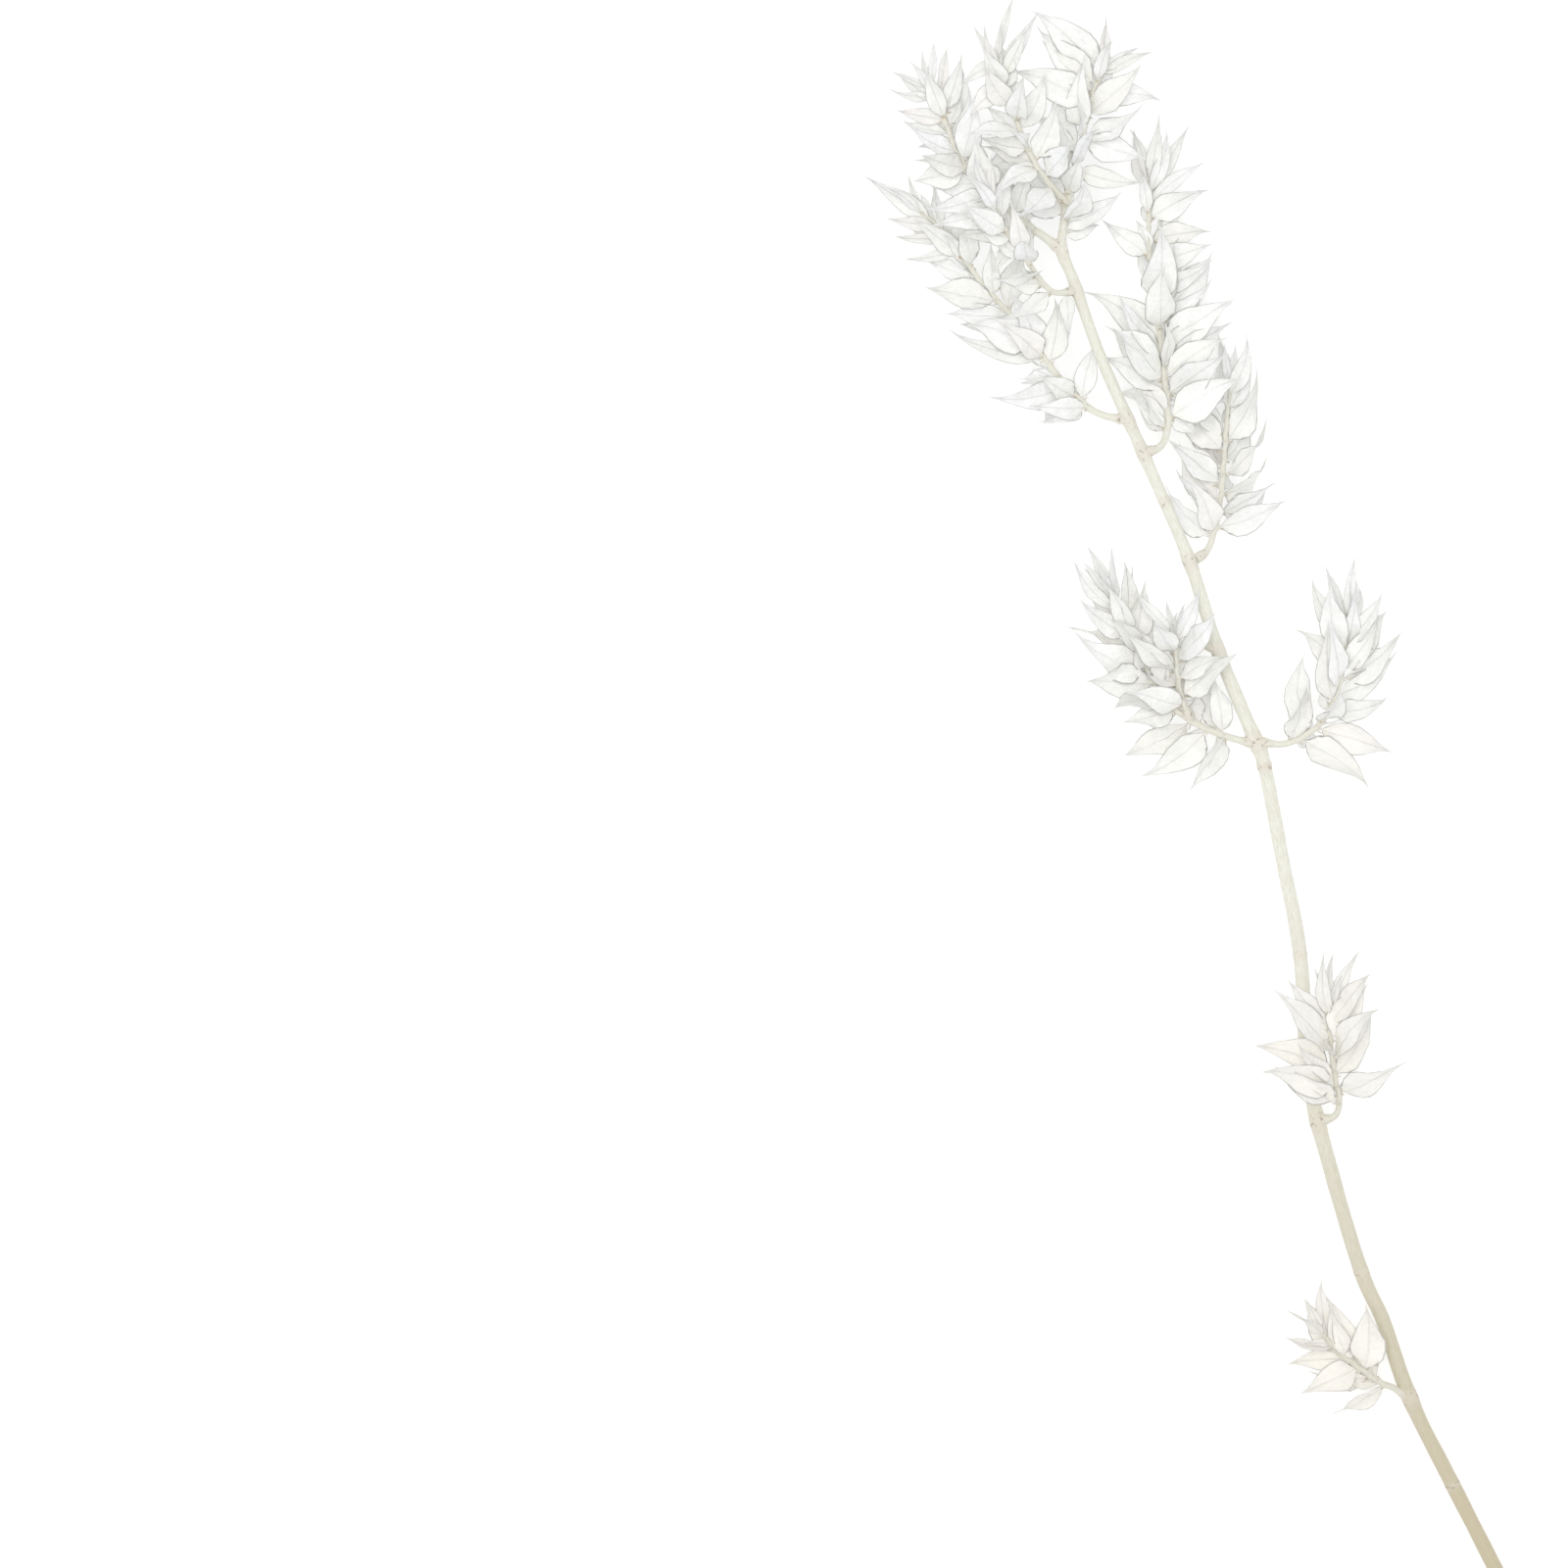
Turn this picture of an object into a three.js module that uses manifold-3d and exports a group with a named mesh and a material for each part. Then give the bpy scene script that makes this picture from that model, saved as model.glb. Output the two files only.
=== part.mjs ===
// A dried, bleached ruscus stem, cut at its foot and lying on a flat surface.
// Millimetres. +X is to the right, +Y along the stem towards its crown, +Z up, and the surface is z = 0.
// The woody axis is one body. Each leafy shoot is one body too, with its leaves grown into its twigs.
// Points are given from the fork of the crown, which FORK then places over the middle of the part.

import * as THREE from 'three';
import Module from 'manifold-3d';

const wasm = await Module();
wasm.setup();

// ---------------------------------------------------------------- driving dimensions, in mm and radians

const FORK = new THREE.Vector3(-63.4, 238.1, 0);

const STEM_SIDES = 8;
const STEM_STEP = 11;
const CUT_SLANT = 0.32;
const CROWN_FROM = 30;

const TWIG_SIDES = 5;
const TWIG_STEP = 7;
const SEAM = 0.3;

const LEAF_PITCH = 3.5;
const LEAF_THICK = 1.0;
const LEAF_STALK = 0.5;
const LEAF_FORWARD = 0.18;
const LEAF_STATIONS = [0.09, 0.35, 0.68];
const WIDEST = 0.2172;

const FLOOR_GAP = 1.3;
const WOOD_GAP = 1.5;
const OWN_GAP = 2.0;
const OTHER_GAP = 4.6;

// ---------------------------------------------------------------- the axis and the twigs

// The axis from its cut end to the tip of the leader.
const AXIS = [
  [200.3, -572.7, 2.8], [185.4, -540.4, 4.0], [169.9, -510, 5.6], [151.6, -474.2, 7.6],
  [141.7, -454.9, 8.8], [134.9, -438.5, 9.8], [127.3, -416.1, 11.2], [118.6, -396.7, 12.6],
  [106.8, -358, 15.5], [97.7, -321.1, 18.6], [93.9, -272.5, 22.6], [86.6, -234.5, 26],
  [79.5, -199, 29.6], [75, -187, 30.8], [61.2, -154.3, 34.4], [49.4, -118.6, 38],
  [31.5, -77.9, 42.6], [25.8, -65.4, 43.8], [14.4, -39.5, 46], [4.6, -12.2, 48],
  [0, 0, 49], [1.1, 13.7, 51], [4.2, 29.6, 54], [7.6, 42.9, 57], [11.4, 58.1, 58.5], [15.2, 69.5, 58],
];

// Its radius below the fork, by the share of the way there.
const AXIS_RADII = [[0, 3.0], [0.45, 2.87], [0.62, 2.7], [0.75, 2.55], [0.84, 2.3], [1, 2.05]];

// Each shoot: its twigs, the first of them rooted on the axis, the leaves that stand out from above, each
// with the share of the way along its twig and the point of its tip, and the leaves that touch the surface.
const SHOOTS = {
  crown_spray: {
    twigs: [
      { onAxis: true, bare: 7, leaf: 27, end: 0, pitch: 5, seed: 3, r: [1.65, 0.82] },
      {
        path: [[0, 0, 49], [-11.4, 8, 51], [-18.6, 12.9, 53], [-26.2, 20.5, 55], [-38, 32.3, 56],
          [-42.9, 42.9, 55], [-47.5, 55.5, 52.5], [-52.4, 63.1, 49.5]],
        bare: 13, leaf: 26, seed: 7, r: [1.65, 0.82],
      },
      {
        path: [[2, 17, 51.6], [-4, 23.5, 57], [-10.3, 31, 63], [-16, 42, 69], [-20.5, 53.2, 74],
          [-24, 63.5, 77.5], [-26.4, 71.6, 79]],
        bare: 11, leaf: 25, end: 0, pitch: 4.5, seed: 12, r: [1.3, 0.78],
      },
      {
        path: [[5.6, -15.5, 47.8], [-4.2, -16.3, 54], [-13.7, -5.7, 61], [-22.4, 6.8, 66],
          [-28.1, 17.5, 69]],
        bare: 12, leaf: 25, pitch: 5, seed: 17, r: [1.25, 0.78],
      },
    ],
    shown: [
      { twig: 0, at: 1, tip: [-12.2, 92.3, 61], width: 15 },
      { twig: 0, at: 0.8, tip: [-19, 70.7, 63.4], width: 13 },
      { twig: 0, at: 0.857, tip: [-9.1, 79, 59.5], width: 10.5 },
      { twig: 0, at: 0.193, tip: [-22.4, 24.7, 60], width: 13 },
      { twig: 0, at: 0.841, tip: [38.4, 60.8, 55.5], width: 10.5 },
      { twig: 0, at: 0.607, tip: [32.7, 33.4, 50.9], width: 12 },
      { twig: 0, at: 0.438, tip: [30, 22, 48.3], width: 9 },
      { twig: 0, at: 0.101, tip: [24.3, 20.9, 47], width: 9.5 },
      { twig: 0, at: 1, tip: [17.1, 91.6, 60], width: 4.6 },
      { twig: 0, at: 0.973, tip: [29.6, 79, 56.1], width: 4.2 },
      { twig: 0, at: 0.953, tip: [35, 77.9, 53.2], width: 5 },
      { twig: 2, at: 0.99, tip: [-19.8, 96.9, 80.9], width: 4.6 },
      { twig: 2, at: 0.904, tip: [-8.7, 89.7, 75.9], width: 6 },
      { twig: 2, at: 0.97, tip: [-41.4, 61.2, 74.7], width: 5.4 },
      { twig: 2, at: 0.844, tip: [-38.8, 49.4, 70.9], width: 8 },
      { twig: 2, at: 0.663, tip: [-17.5, 65.4, 75.9], width: 7 },
      { twig: 2, at: 0.318, tip: [-30.8, 41, 61], width: 9 },
      { twig: 1, at: 0.717, tip: [-56.2, 39.5, 51.1], width: 5.5 },
      { twig: 1, at: 0.57, tip: [-57.8, 25.5, 50], width: 12 },
      { twig: 1, at: 0.811, tip: [-64.6, 53.2, 48.9], width: 8 },
      { twig: 3, at: 0.493, tip: [-13.3, 9.1, 64], width: 5 },
      { twig: 3, at: 0.688, tip: [-33.8, 6.1, 61.6], width: 8 },
      { twig: 3, at: 0.778, tip: [-40.3, 14.8, 68], width: 10 },
    ],
  },
  left_spray: {
    twigs: [
      {
        path: [[25.8, -65.4, 43.8], [16.3, -63.5, 42.4], [9.5, -59.7, 41], [3.8, -53.6, 39.6],
          [-4.2, -44.1, 37], [-10.6, -34.2, 34.5], [-16, -27.5, 32.5], [-29.3, -12.2, 28],
          [-40.7, 3, 23.5], [-48.6, 12.9, 20], [-54.3, 17.5, 18]],
        bare: 17, leaf: 28, pitch: 5.6, seed: 31, r: [1.42, 0.82],
      },
    ],
    shown: [
      { twig: 0, at: 0.259, tip: [-17.9, -50.9, 39.6], width: 4.6 },
      { twig: 0, at: 0.213, tip: [-7.2, -66.5, 33.7], width: 9.5 },
      { twig: 0, at: 0.166, tip: [11.4, -33.1, 38], width: 9 },
      { twig: 0, at: 0.326, tip: [1.5, -17.9, 34.9], width: 12 },
      { twig: 0, at: 0.348, tip: [-45.6, -34.6, 30.4], width: 7.8 },
      { twig: 0, at: 0.403, tip: [-36.9, -24.3, 38], width: 14 },
      { twig: 0, at: 0.378, tip: [-17.9, -14.8, 38.6], width: 11 },
      { twig: 0, at: 0.918, tip: [-68.4, 14.4, 17.6], width: 6.2 },
      { twig: 0, at: 0.865, tip: [-66.1, 6.5, 17.4], width: 6.2 },
      { twig: 0, at: 0.811, tip: [-61.2, -3, 17], width: 5.4 },
    ],
    feet: [{ twig: 0, at: 0.93, tip: [-76.4, 33.4, 0], width: 8 }],
  },
  right_spray: {
    twigs: [
      {
        path: [[31.5, -77.9, 42.6], [38.2, -75.6, 40.6], [41.2, -69.2, 38.6], [41.6, -62.3, 36.6],
          [40.7, -51.3, 33.6], [39.1, -40.3, 31], [38.8, -28.1, 28.4], [36.9, -13.3, 25.6],
          [35.3, 1.1, 22.6], [35, 15.6, 19.4], [35.7, 30, 16.4]],
        bare: 15, leaf: 34, end: 0, pitch: 5.2, seed: 42, r: [1.45, 0.82],
      },
    ],
    shown: [
      { twig: 0, at: 0.99, tip: [40.3, 56.2, 19.6], width: 6.6 },
      { twig: 0, at: 0.921, tip: [57, 39.5, 19.3], width: 6.4 },
      { twig: 0, at: 0.864, tip: [58.1, 28.9, 21.7], width: 11 },
      { twig: 0, at: 0.789, tip: [60, 12.5, 18.5], width: 9.5 },
      { twig: 0, at: 0.705, tip: [60.4, 4.2, 24.6], width: 10 },
      { twig: 0, at: 0.615, tip: [61.6, -4.6, 22.7], width: 8 },
      { twig: 0, at: 0.431, tip: [68.4, -16.7, 29.8], width: 14.5 },
      { twig: 0, at: 0.315, tip: [65, -29.3, 28.8], width: 13 },
      { twig: 0, at: 0.257, tip: [66.1, -58.5, 28.5], width: 12 },
      { twig: 0, at: 0.179, tip: [54.7, -68.8, 30.9], width: 9 },
      { twig: 0, at: 0.879, tip: [32.3, 34.2, 21.3], width: 4.8 },
      { twig: 0, at: 0.747, tip: [31.2, 15.2, 19.6], width: 6 },
      { twig: 0, at: 0.737, tip: [16, 12.2, 24.9], width: 9 },
      { twig: 0, at: 0.588, tip: [31.9, 0.8, 28.3], width: 5.4 },
      { twig: 0, at: 0.449, tip: [10.6, -11, 30.4], width: 14.5 },
      { twig: 0, at: 0.266, tip: [17.5, -36.5, 31.2], width: 12.5 },
      { twig: 0, at: 0.179, tip: [29.6, -45.6, 31.9], width: 9 },
    ],
    feet: [{ twig: 0, at: 0.95, tip: [52.4, 53.5, 0], width: 6.5 }],
  },
  lower_left_spray: {
    twigs: [
      {
        path: [[76.4, -190.5, 30.5], [65, -187.7, 31.6], [53.2, -182.8, 33], [44.5, -177.1, 34.4],
          [38, -169.5, 35.6], [32.6, -160.2, 36.6], [25.8, -147, 37.4], [19.5, -132.8, 37.8]],
        bare: 13, leaf: 30, seed: 53, r: [1.45, 0.82],
      },
      {
        path: [[50.5, -181.3, 33.3], [46, -170, 40], [44.2, -158, 45], [43.6, -146, 48.5]],
        bare: 8, leaf: 26, seed: 58, r: [1.1, 0.72],
      },
    ],
  },
  upper_back_spray: {
    twigs: [
      {
        path: [[52.4, -119, 37.9], [57.4, -114.5, 34.8], [60.8, -104, 31.4], [63, -91, 28], [64.4, -77, 25],
          [65.4, -63, 22.4], [67, -50, 20.4]],
        bare: 13, leaf: 30, seed: 64, r: [1.38, 0.78],
      },
    ],
  },
  lower_right_spray: {
    twigs: [
      {
        path: [[76.2, -189.6, 30.6], [87, -190.4, 32.4], [96, -186.6, 33.6], [103.4, -179, 34],
          [108, -168.4, 33.6], [110.6, -155.6, 32.6], [112, -142, 31]],
        bare: 14, leaf: 31, seed: 73, r: [1.42, 0.82],
      },
    ],
  },
  low_right_spray: {
    twigs: [
      {
        path: [[101.2, -337.5, 17.2], [107.6, -335.4, 20.4], [109.2, -329, 23], [107, -319.1, 25.4],
          [105.3, -306.7, 28], [104.5, -292.2, 30]],
        bare: 14, leaf: 33, seed: 81, r: [1.42, 0.82],
      },
    ],
  },
  low_left_spray: {
    twigs: [
      {
        path: [[138, -446.5, 9.2], [131.1, -442.2, 12.4], [125.4, -439.6, 14.6], [116.7, -433.5, 17.4],
          [107.9, -426.6, 19.4], [101.8, -418.5, 20.6]],
        bare: 13, leaf: 27, seed: 94, r: [1.38, 0.78],
      },
    ],
  },
};

// A short twig that broke off and left its bare stub.
const STUB = { path: [[61.2, -154.3, 34.4], [56.1, -152.4, 35.6], [50.6, -151.2, 36.6]], r: [1.5, 1.15] };

// Where bare wood or the surface shows from above: x, y and how far round it leaves stay away.
const OPEN_PLACES = [
  [11.4, 35.3, 2.7], [17.5, 34.6, 3.8], [24.3, 32.7, 3.1], [28.1, 27.4, 3.5], [26.6, 15.2, 5],
  [18.2, 19, 1.9], [10.6, -5.3, 5.4], [19.8, -7.2, 5.4], [16, 0, 4.2], [25.8, -5.3, 3.5],
  [11.4, -16, 2.3], [16.7, -22, 2.7], [-7.6, 1.1, 3.1], [-6.5, -5.3, 3.1], [-1.9, 6.8, 2.7],
  [0, 0, 4.2], [-5.3, 5.7, 3.1], [-10.3, 9.1, 2.7], [0.8, 9.9, 3.1], [-28.1, -0.4, 3.1],
  [-6.8, -25.5, 1.9], [3, -43.3, 3.8], [15.2, -57.8, 3.8], [7.2, -35, 3.1], [6.1, -16, 3.8],
  [9.9, -24.3, 3.8], [12.9, -32.3, 2.7], [20.1, -52.1, 3.5], [23.9, -61.6, 3.5], [-12.9, 45.6, 2.3],
  [-6.1, -16, 3.1],
];

// The scar where a leaf bract sat, as a low ring round the axis.
const SCAR = { at: [79.5, -199, 29.6], height: 0.45, width: 1.6 };

// ---------------------------------------------------------------- the seeded draw

function draw(seed, index, use) {
  const s = Math.sin(seed * 127.1 + index * 311.7 + use * 74.7) * 43758.5453;
  return s - Math.floor(s);
}

function spread(seed, index, use) {
  return draw(seed, index, use) * 2 - 1;
}

function ease(t) {
  const c = Math.min(1, Math.max(0, t));
  return c * c * (3 - 2 * c);
}

// The value at t of a list of [t, value].
function between(list, t) {
  let i = 1;
  while (i < list.length - 1 && list[i][0] < t) i += 1;
  const [[t0, v0], [t1, v1]] = [list[i - 1], list[i]];
  return THREE.MathUtils.lerp(v0, v1, (t - t0) / (t1 - t0));
}

// ---------------------------------------------------------------- paths

const UP = new THREE.Vector3(0, 0, 1);

// A smooth path through the points, measured along its length.
function smoothPath(points) {
  const curve = new THREE.CatmullRomCurve3(
    points.map((p) => new THREE.Vector3(...p)), false, 'catmullrom', 0.5,
  );
  const fine = [];
  const lengths = [0];
  const count = (points.length - 1) * 24;
  for (let i = 0; i <= count; i += 1) {
    fine.push(curve.getPoint(i / count));
    if (i > 0) lengths.push(lengths[i - 1] + fine[i].distanceTo(fine[i - 1]));
  }
  return { fine, lengths, total: lengths[count] };
}

function pointAt(path, s) {
  let i = 1;
  while (i < path.lengths.length - 1 && path.lengths[i] < s) i += 1;
  const t = (s - path.lengths[i - 1]) / (path.lengths[i] - path.lengths[i - 1]);
  return path.fine[i - 1].clone().lerp(path.fine[i], t);
}

// The direction of the path, and two directions across it: level and upward.
function frameAt(path, s) {
  const a = pointAt(path, Math.max(0, s - 0.5));
  const b = pointAt(path, Math.min(path.total, s + 0.5));
  const along = b.sub(a).normalize();
  const level = new THREE.Vector3().crossVectors(UP, along).normalize();
  const lift = new THREE.Vector3().crossVectors(along, level);
  return { along, level, lift };
}

function lengthNear(path, point) {
  const p = new THREE.Vector3(...point);
  let best = 0;
  for (let i = 1; i < path.fine.length; i += 1) {
    if (path.fine[i].distanceTo(p) < path.fine[best].distanceTo(p)) best = i;
  }
  return path.lengths[best];
}

// ---------------------------------------------------------------- closed bodies

function solidOf(points, triangles) {
  const vertProperties = new Float32Array(points.flatMap((p) => [p.x, p.y, p.z]));
  const triVerts = new Uint32Array(triangles.flat());
  return new wasm.Manifold(new wasm.Mesh({ numProp: 3, vertProperties, triVerts }));
}

// A round tube between two lengths of a path, closed at both ends.
function tube(path, from, to, radiusAt, sides, step, slant = 0) {
  const count = Math.max(1, Math.round((to - from) / step));
  const points = [];
  const triangles = [];
  for (let i = 0; i <= count; i += 1) {
    const s = from + ((to - from) * i) / count;
    const centre = pointAt(path, s);
    const { along, level, lift } = frameAt(path, s);
    for (let k = 0; k < sides; k += 1) {
      const a = (2 * Math.PI * (k + 0.5)) / sides;
      const r = radiusAt(s);
      const p = centre.clone();
      p.addScaledVector(level, r * Math.cos(a));
      p.addScaledVector(lift, r * Math.sin(a));
      if (i === 0) p.addScaledVector(along, slant * r * Math.cos(a));
      points.push(p);
    }
  }
  for (let i = 0; i < count; i += 1) {
    for (let k = 0; k < sides; k += 1) {
      const a = i * sides + k;
      const b = i * sides + ((k + 1) % sides);
      triangles.push([a, b, b + sides], [a, b + sides, a + sides]);
    }
  }
  const last = count * sides;
  for (let k = 1; k < sides - 1; k += 1) {
    triangles.push([0, k + 1, k], [last, last + k, last + k + 1]);
  }
  return solidOf(points, triangles);
}

// ---------------------------------------------------------------- leaves

// Half the width along a leaf: a narrow stalk, widest near a third, drawn out to a fine point.
function outline(s) {
  const t = Math.min(1, Math.max(0, (s - 0.08) / 0.92));
  return (t ** 0.75 * (1 - t) ** 1.75) / WIDEST;
}

// A point of the blade: s runs from foot to tip, u from one edge to the other.
function bladePoint(leaf, s, u) {
  const half = s < 1 ? Math.max(LEAF_STALK, (leaf.width / 2) * outline(s)) : 0;
  const wide = half * (1 + leaf.skew * Math.sign(u));
  const turn = leaf.twist * s;
  const across = leaf.across.clone().multiplyScalar(Math.cos(turn));
  across.addScaledVector(leaf.face, Math.sin(turn));
  const face = leaf.face.clone().multiplyScalar(Math.cos(turn));
  face.addScaledVector(leaf.across, -Math.sin(turn));
  const p = leaf.root.clone();
  p.addScaledVector(leaf.along, leaf.length * s);
  p.addScaledVector(leaf.face, leaf.length * leaf.curl * s * s);
  p.addScaledVector(leaf.across, leaf.length * leaf.sweep * s * s);
  p.addScaledVector(across, wide * u);
  p.addScaledVector(face, wide * leaf.cup * Math.abs(u));
  return { p, face };
}

// A blade with a thick midrib and fine edges, cut alike on both faces.
function leafSolid(leaf) {
  const points = [];
  const triangles = [];
  const stations = [0, ...LEAF_STATIONS];
  stations.forEach((s) => {
    const mid = bladePoint(leaf, s, 0);
    points.push(bladePoint(leaf, s, -1).p);
    points.push(mid.p.clone().addScaledVector(mid.face, LEAF_THICK / 2));
    points.push(bladePoint(leaf, s, 1).p);
    points.push(mid.p.clone().addScaledVector(mid.face, -LEAF_THICK / 2));
  });
  points.push(bladePoint(leaf, 1, 0).p);
  const tip = points.length - 1;
  triangles.push([0, 1, 2], [0, 2, 3]);
  for (let i = 0; i < stations.length - 1; i += 1) {
    for (let k = 0; k < 4; k += 1) {
      const a = i * 4 + k;
      const b = i * 4 + ((k + 1) % 4);
      const edgeFirst = k % 2 === 0;
      if (edgeFirst) triangles.push([a, b + 4, b], [a, a + 4, b + 4]);
      else triangles.push([a, a + 4, b], [b, a + 4, b + 4]);
    }
  }
  const last = (stations.length - 1) * 4;
  for (let k = 0; k < 4; k += 1) {
    triangles.push([last + k, tip, last + ((k + 1) % 4)]);
  }
  return solidOf(points, triangles);
}

// A leaf's own directions: along it, across it, and out of its upper face.
function setLeaf(root, along, roll, sizes) {
  const face = UP.clone().addScaledVector(along, -UP.dot(along)).normalize();
  face.applyAxisAngle(along, roll);
  const across = new THREE.Vector3().crossVectors(face, along);
  return { root, along, across, face, ...sizes };
}

// Points spread over a blade, by which it is kept clear of what is already there.
function feelers(leaf) {
  const points = [];
  [0.22, 0.38, 0.55, 0.72, 0.87].forEach((s) => {
    [-1, 0, 1].forEach((u) => points.push(bladePoint(leaf, s, u).p));
  });
  points.push(bladePoint(leaf, 1, 0).p);
  return points;
}

const wood = [];
const placed = [];

function isClear(leaf, shoot, twig) {
  const points = feelers(leaf);
  if (points.some((p) => p.z < FLOOR_GAP)) return false;
  if (OPEN_PLACES.some(([x, y, r]) => points.some((p) => Math.hypot(p.x - x, p.y - y) < r))) return false;
  const near = (q, gap) => points.some((p) => p.distanceTo(q) < gap);
  if (wood.some((w) => !(w.shoot === shoot && w.twig === twig) && near(w.p, w.r + WOOD_GAP))) return false;
  return !placed.some((other) => {
    const gap = other.shoot === shoot ? OWN_GAP : OTHER_GAP;
    if (other.root.distanceTo(leaf.root) > 90) return false;
    return other.points.some((q) => near(q, gap));
  });
}

// The leaf at one place of a twig, tried a few ways round until it is clear.
function growLeaf(shoot, twigIndex, twig, s, index) {
  const { seed } = twig;
  const t = (s - twig.start) / (twig.path.total - twig.start);
  const tip = ease((t - 0.7) / 0.3);
  const rise = ease(t / 0.25);
  const { along, level, lift } = frameAt(twig.path, s);
  const side = index % 2 === 0 ? 0 : Math.PI;
  for (let k = 0; k < 10; k += 1) {
    const swing = [0, 0.45, -0.45, 0.9, -0.9, 1.4, -1.4, 0.2, 2.2, -2.2][k];
    const small = k < 6 ? 1 : 0.8;
    const azimuth = side + 0.8 * spread(seed, index, 1) + swing;
    const lean = THREE.MathUtils.lerp(1.3, 0.58, t ** 1.3) + 0.2 * spread(seed, index, 2) - 0.03 * k;
    const outward = level.clone().multiplyScalar(Math.cos(azimuth));
    outward.addScaledVector(lift, Math.sin(azimuth));
    const way = along.clone().multiplyScalar(Math.cos(lean)).addScaledVector(outward, Math.sin(lean));
    const size = small * (0.74 + 0.26 * rise - 0.2 * tip) * (1 + 0.14 * spread(seed, index, 3));
    const length = twig.leaf * size;
    const leaf = setLeaf(pointAt(twig.path, s), way, 0.95 * spread(seed, index + k, 4), {
      length,
      width: length * THREE.MathUtils.lerp(0.42, 0.21, tip) * (1 + 0.12 * spread(seed, index, 5)),
      curl: -0.05 + 0.13 * spread(seed, index, 6),
      sweep: 0.07 * spread(seed, index, 7),
      cup: 0.22 + 0.16 * spread(seed, index, 8),
      twist: 0.5 * spread(seed, index, 9),
      skew: 0.08 * spread(seed, index, 10),
    });
    leaf.curl += LEAF_FORWARD * leaf.face.dot(along);
    leaf.sweep += LEAF_FORWARD * leaf.across.dot(along);
    if (isClear(leaf, shoot, twigIndex)) return leaf;
  }
  return null;
}

// The leaf that ends a twig goes straight on from it.
function growEndLeaf(shoot, twigIndex, twig) {
  const { along } = frameAt(twig.path, twig.path.total);
  if (twig.end === 0) return null;
  for (let k = 0; k < 6; k += 1) {
    const length = (twig.end ?? twig.leaf * 0.86) * (1 - 0.1 * k);
    const leaf = setLeaf(pointAt(twig.path, twig.path.total - 0.6), along, 0.5 * spread(twig.seed, k, 14), {
      length,
      width: length * 0.22,
      curl: 0.08 * spread(twig.seed, 1, 15),
      sweep: 0.08 * spread(twig.seed, k, 16),
      cup: 0.2,
      twist: 0.3,
      skew: 0,
    });
    if (isClear(leaf, shoot, twigIndex)) return leaf;
  }
  return null;
}

// A leaf arched from its twig to the point of its tip.
function reachLeaf(twig, { at, tip, width }, arch, roll, shape) {
  const root = pointAt(twig.path, twig.start + at * (twig.path.total - twig.start));
  const reach = new THREE.Vector3(...tip).sub(root);
  const chord = reach.clone().normalize();
  const over = UP.clone().addScaledVector(chord, -UP.dot(chord)).normalize();
  const along = chord.clone().multiplyScalar(Math.cos(arch)).addScaledVector(over, -Math.sin(arch));
  const length = reach.length() * Math.cos(arch);
  return setLeaf(root, along, roll, { length, width, curl: Math.tan(arch), sweep: 0, skew: 0, ...shape });
}

function footLeaf(twig, foot) {
  return reachLeaf(twig, foot, -0.32, 0, { cup: 0.2, twist: 0 });
}

function shownLeaf(twig, leaf, index) {
  const roll = 0.3 * spread(twig.seed, 200 + index, 4);
  const cup = 0.2 + 0.12 * spread(twig.seed, 200 + index, 8);
  return reachLeaf(twig, leaf, -0.14, roll, { cup, twist: 0.3 * spread(twig.seed, 200 + index, 9) });
}

function placeLeaf(leaf, shoot, list) {
  if (leaf === null) return;
  placed.push({ shoot, root: leaf.root, points: feelers(leaf) });
  list.push(leaf);
}

function growShoot(name) {
  const shoot = SHOOTS[name];
  const leaves = [];
  shoot.twigs.forEach((twig, twigIndex) => {
    let s = twig.start + twig.bare;
    let index = 0;
    while (s < twig.path.total - 1.2) {
      placeLeaf(growLeaf(name, twigIndex, twig, s, index), name, leaves);
      const t = (s - twig.start) / (twig.path.total - twig.start);
      const crowd = 1 - 0.45 * ease((t - 0.7) / 0.3);
      s += (twig.pitch ?? LEAF_PITCH) * crowd * (0.88 + 0.24 * draw(twig.seed, index, 11));
      index += 1;
    }
    placeLeaf(growEndLeaf(name, twigIndex, twig), name, leaves);
  });
  return leaves;
}

// ---------------------------------------------------------------- wood

const axis = smoothPath(AXIS);
const forkAt = lengthNear(axis, [0, 0, 49]);
const crownAt = forkAt - CROWN_FROM;

// Where shoots leave the axis it swells a little.
const joints = Object.values(SHOOTS)
  .map((shoot) => shoot.twigs[0])
  .filter((twig) => !twig.onAxis)
  .map((twig) => lengthNear(axis, twig.path[0]));
joints.push(lengthNear(axis, STUB.path[0]), lengthNear(axis, [5.6, -15.5, 47.8]), forkAt - 1);
const scarAt = lengthNear(axis, SCAR.at);

function axisRadius(s) {
  const plain = between(AXIS_RADII, Math.min(1, s / forkAt));
  const above = THREE.MathUtils.lerp(1.7, 0.82, Math.min(1, Math.max(0, s - forkAt) / (axis.total - forkAt)));
  const r = THREE.MathUtils.lerp(plain, above, ease((s - forkAt + 2) / 8));
  const swell = joints.reduce((sum, j) => sum + 0.42 * Math.exp(-(((s - j) / 4.5) ** 2)), 0);
  const scar = SCAR.height * Math.exp(-(((s - scarAt) / SCAR.width) ** 2));
  return r + Math.min(0.6, swell) + scar;
}

function twigRadius(twig) {
  return (s) => {
    const t = s / twig.path.total;
    return THREE.MathUtils.lerp(twig.r[0], twig.r[1], t) + 0.55 * Math.exp(-((s / 4.5) ** 2));
  };
}

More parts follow.
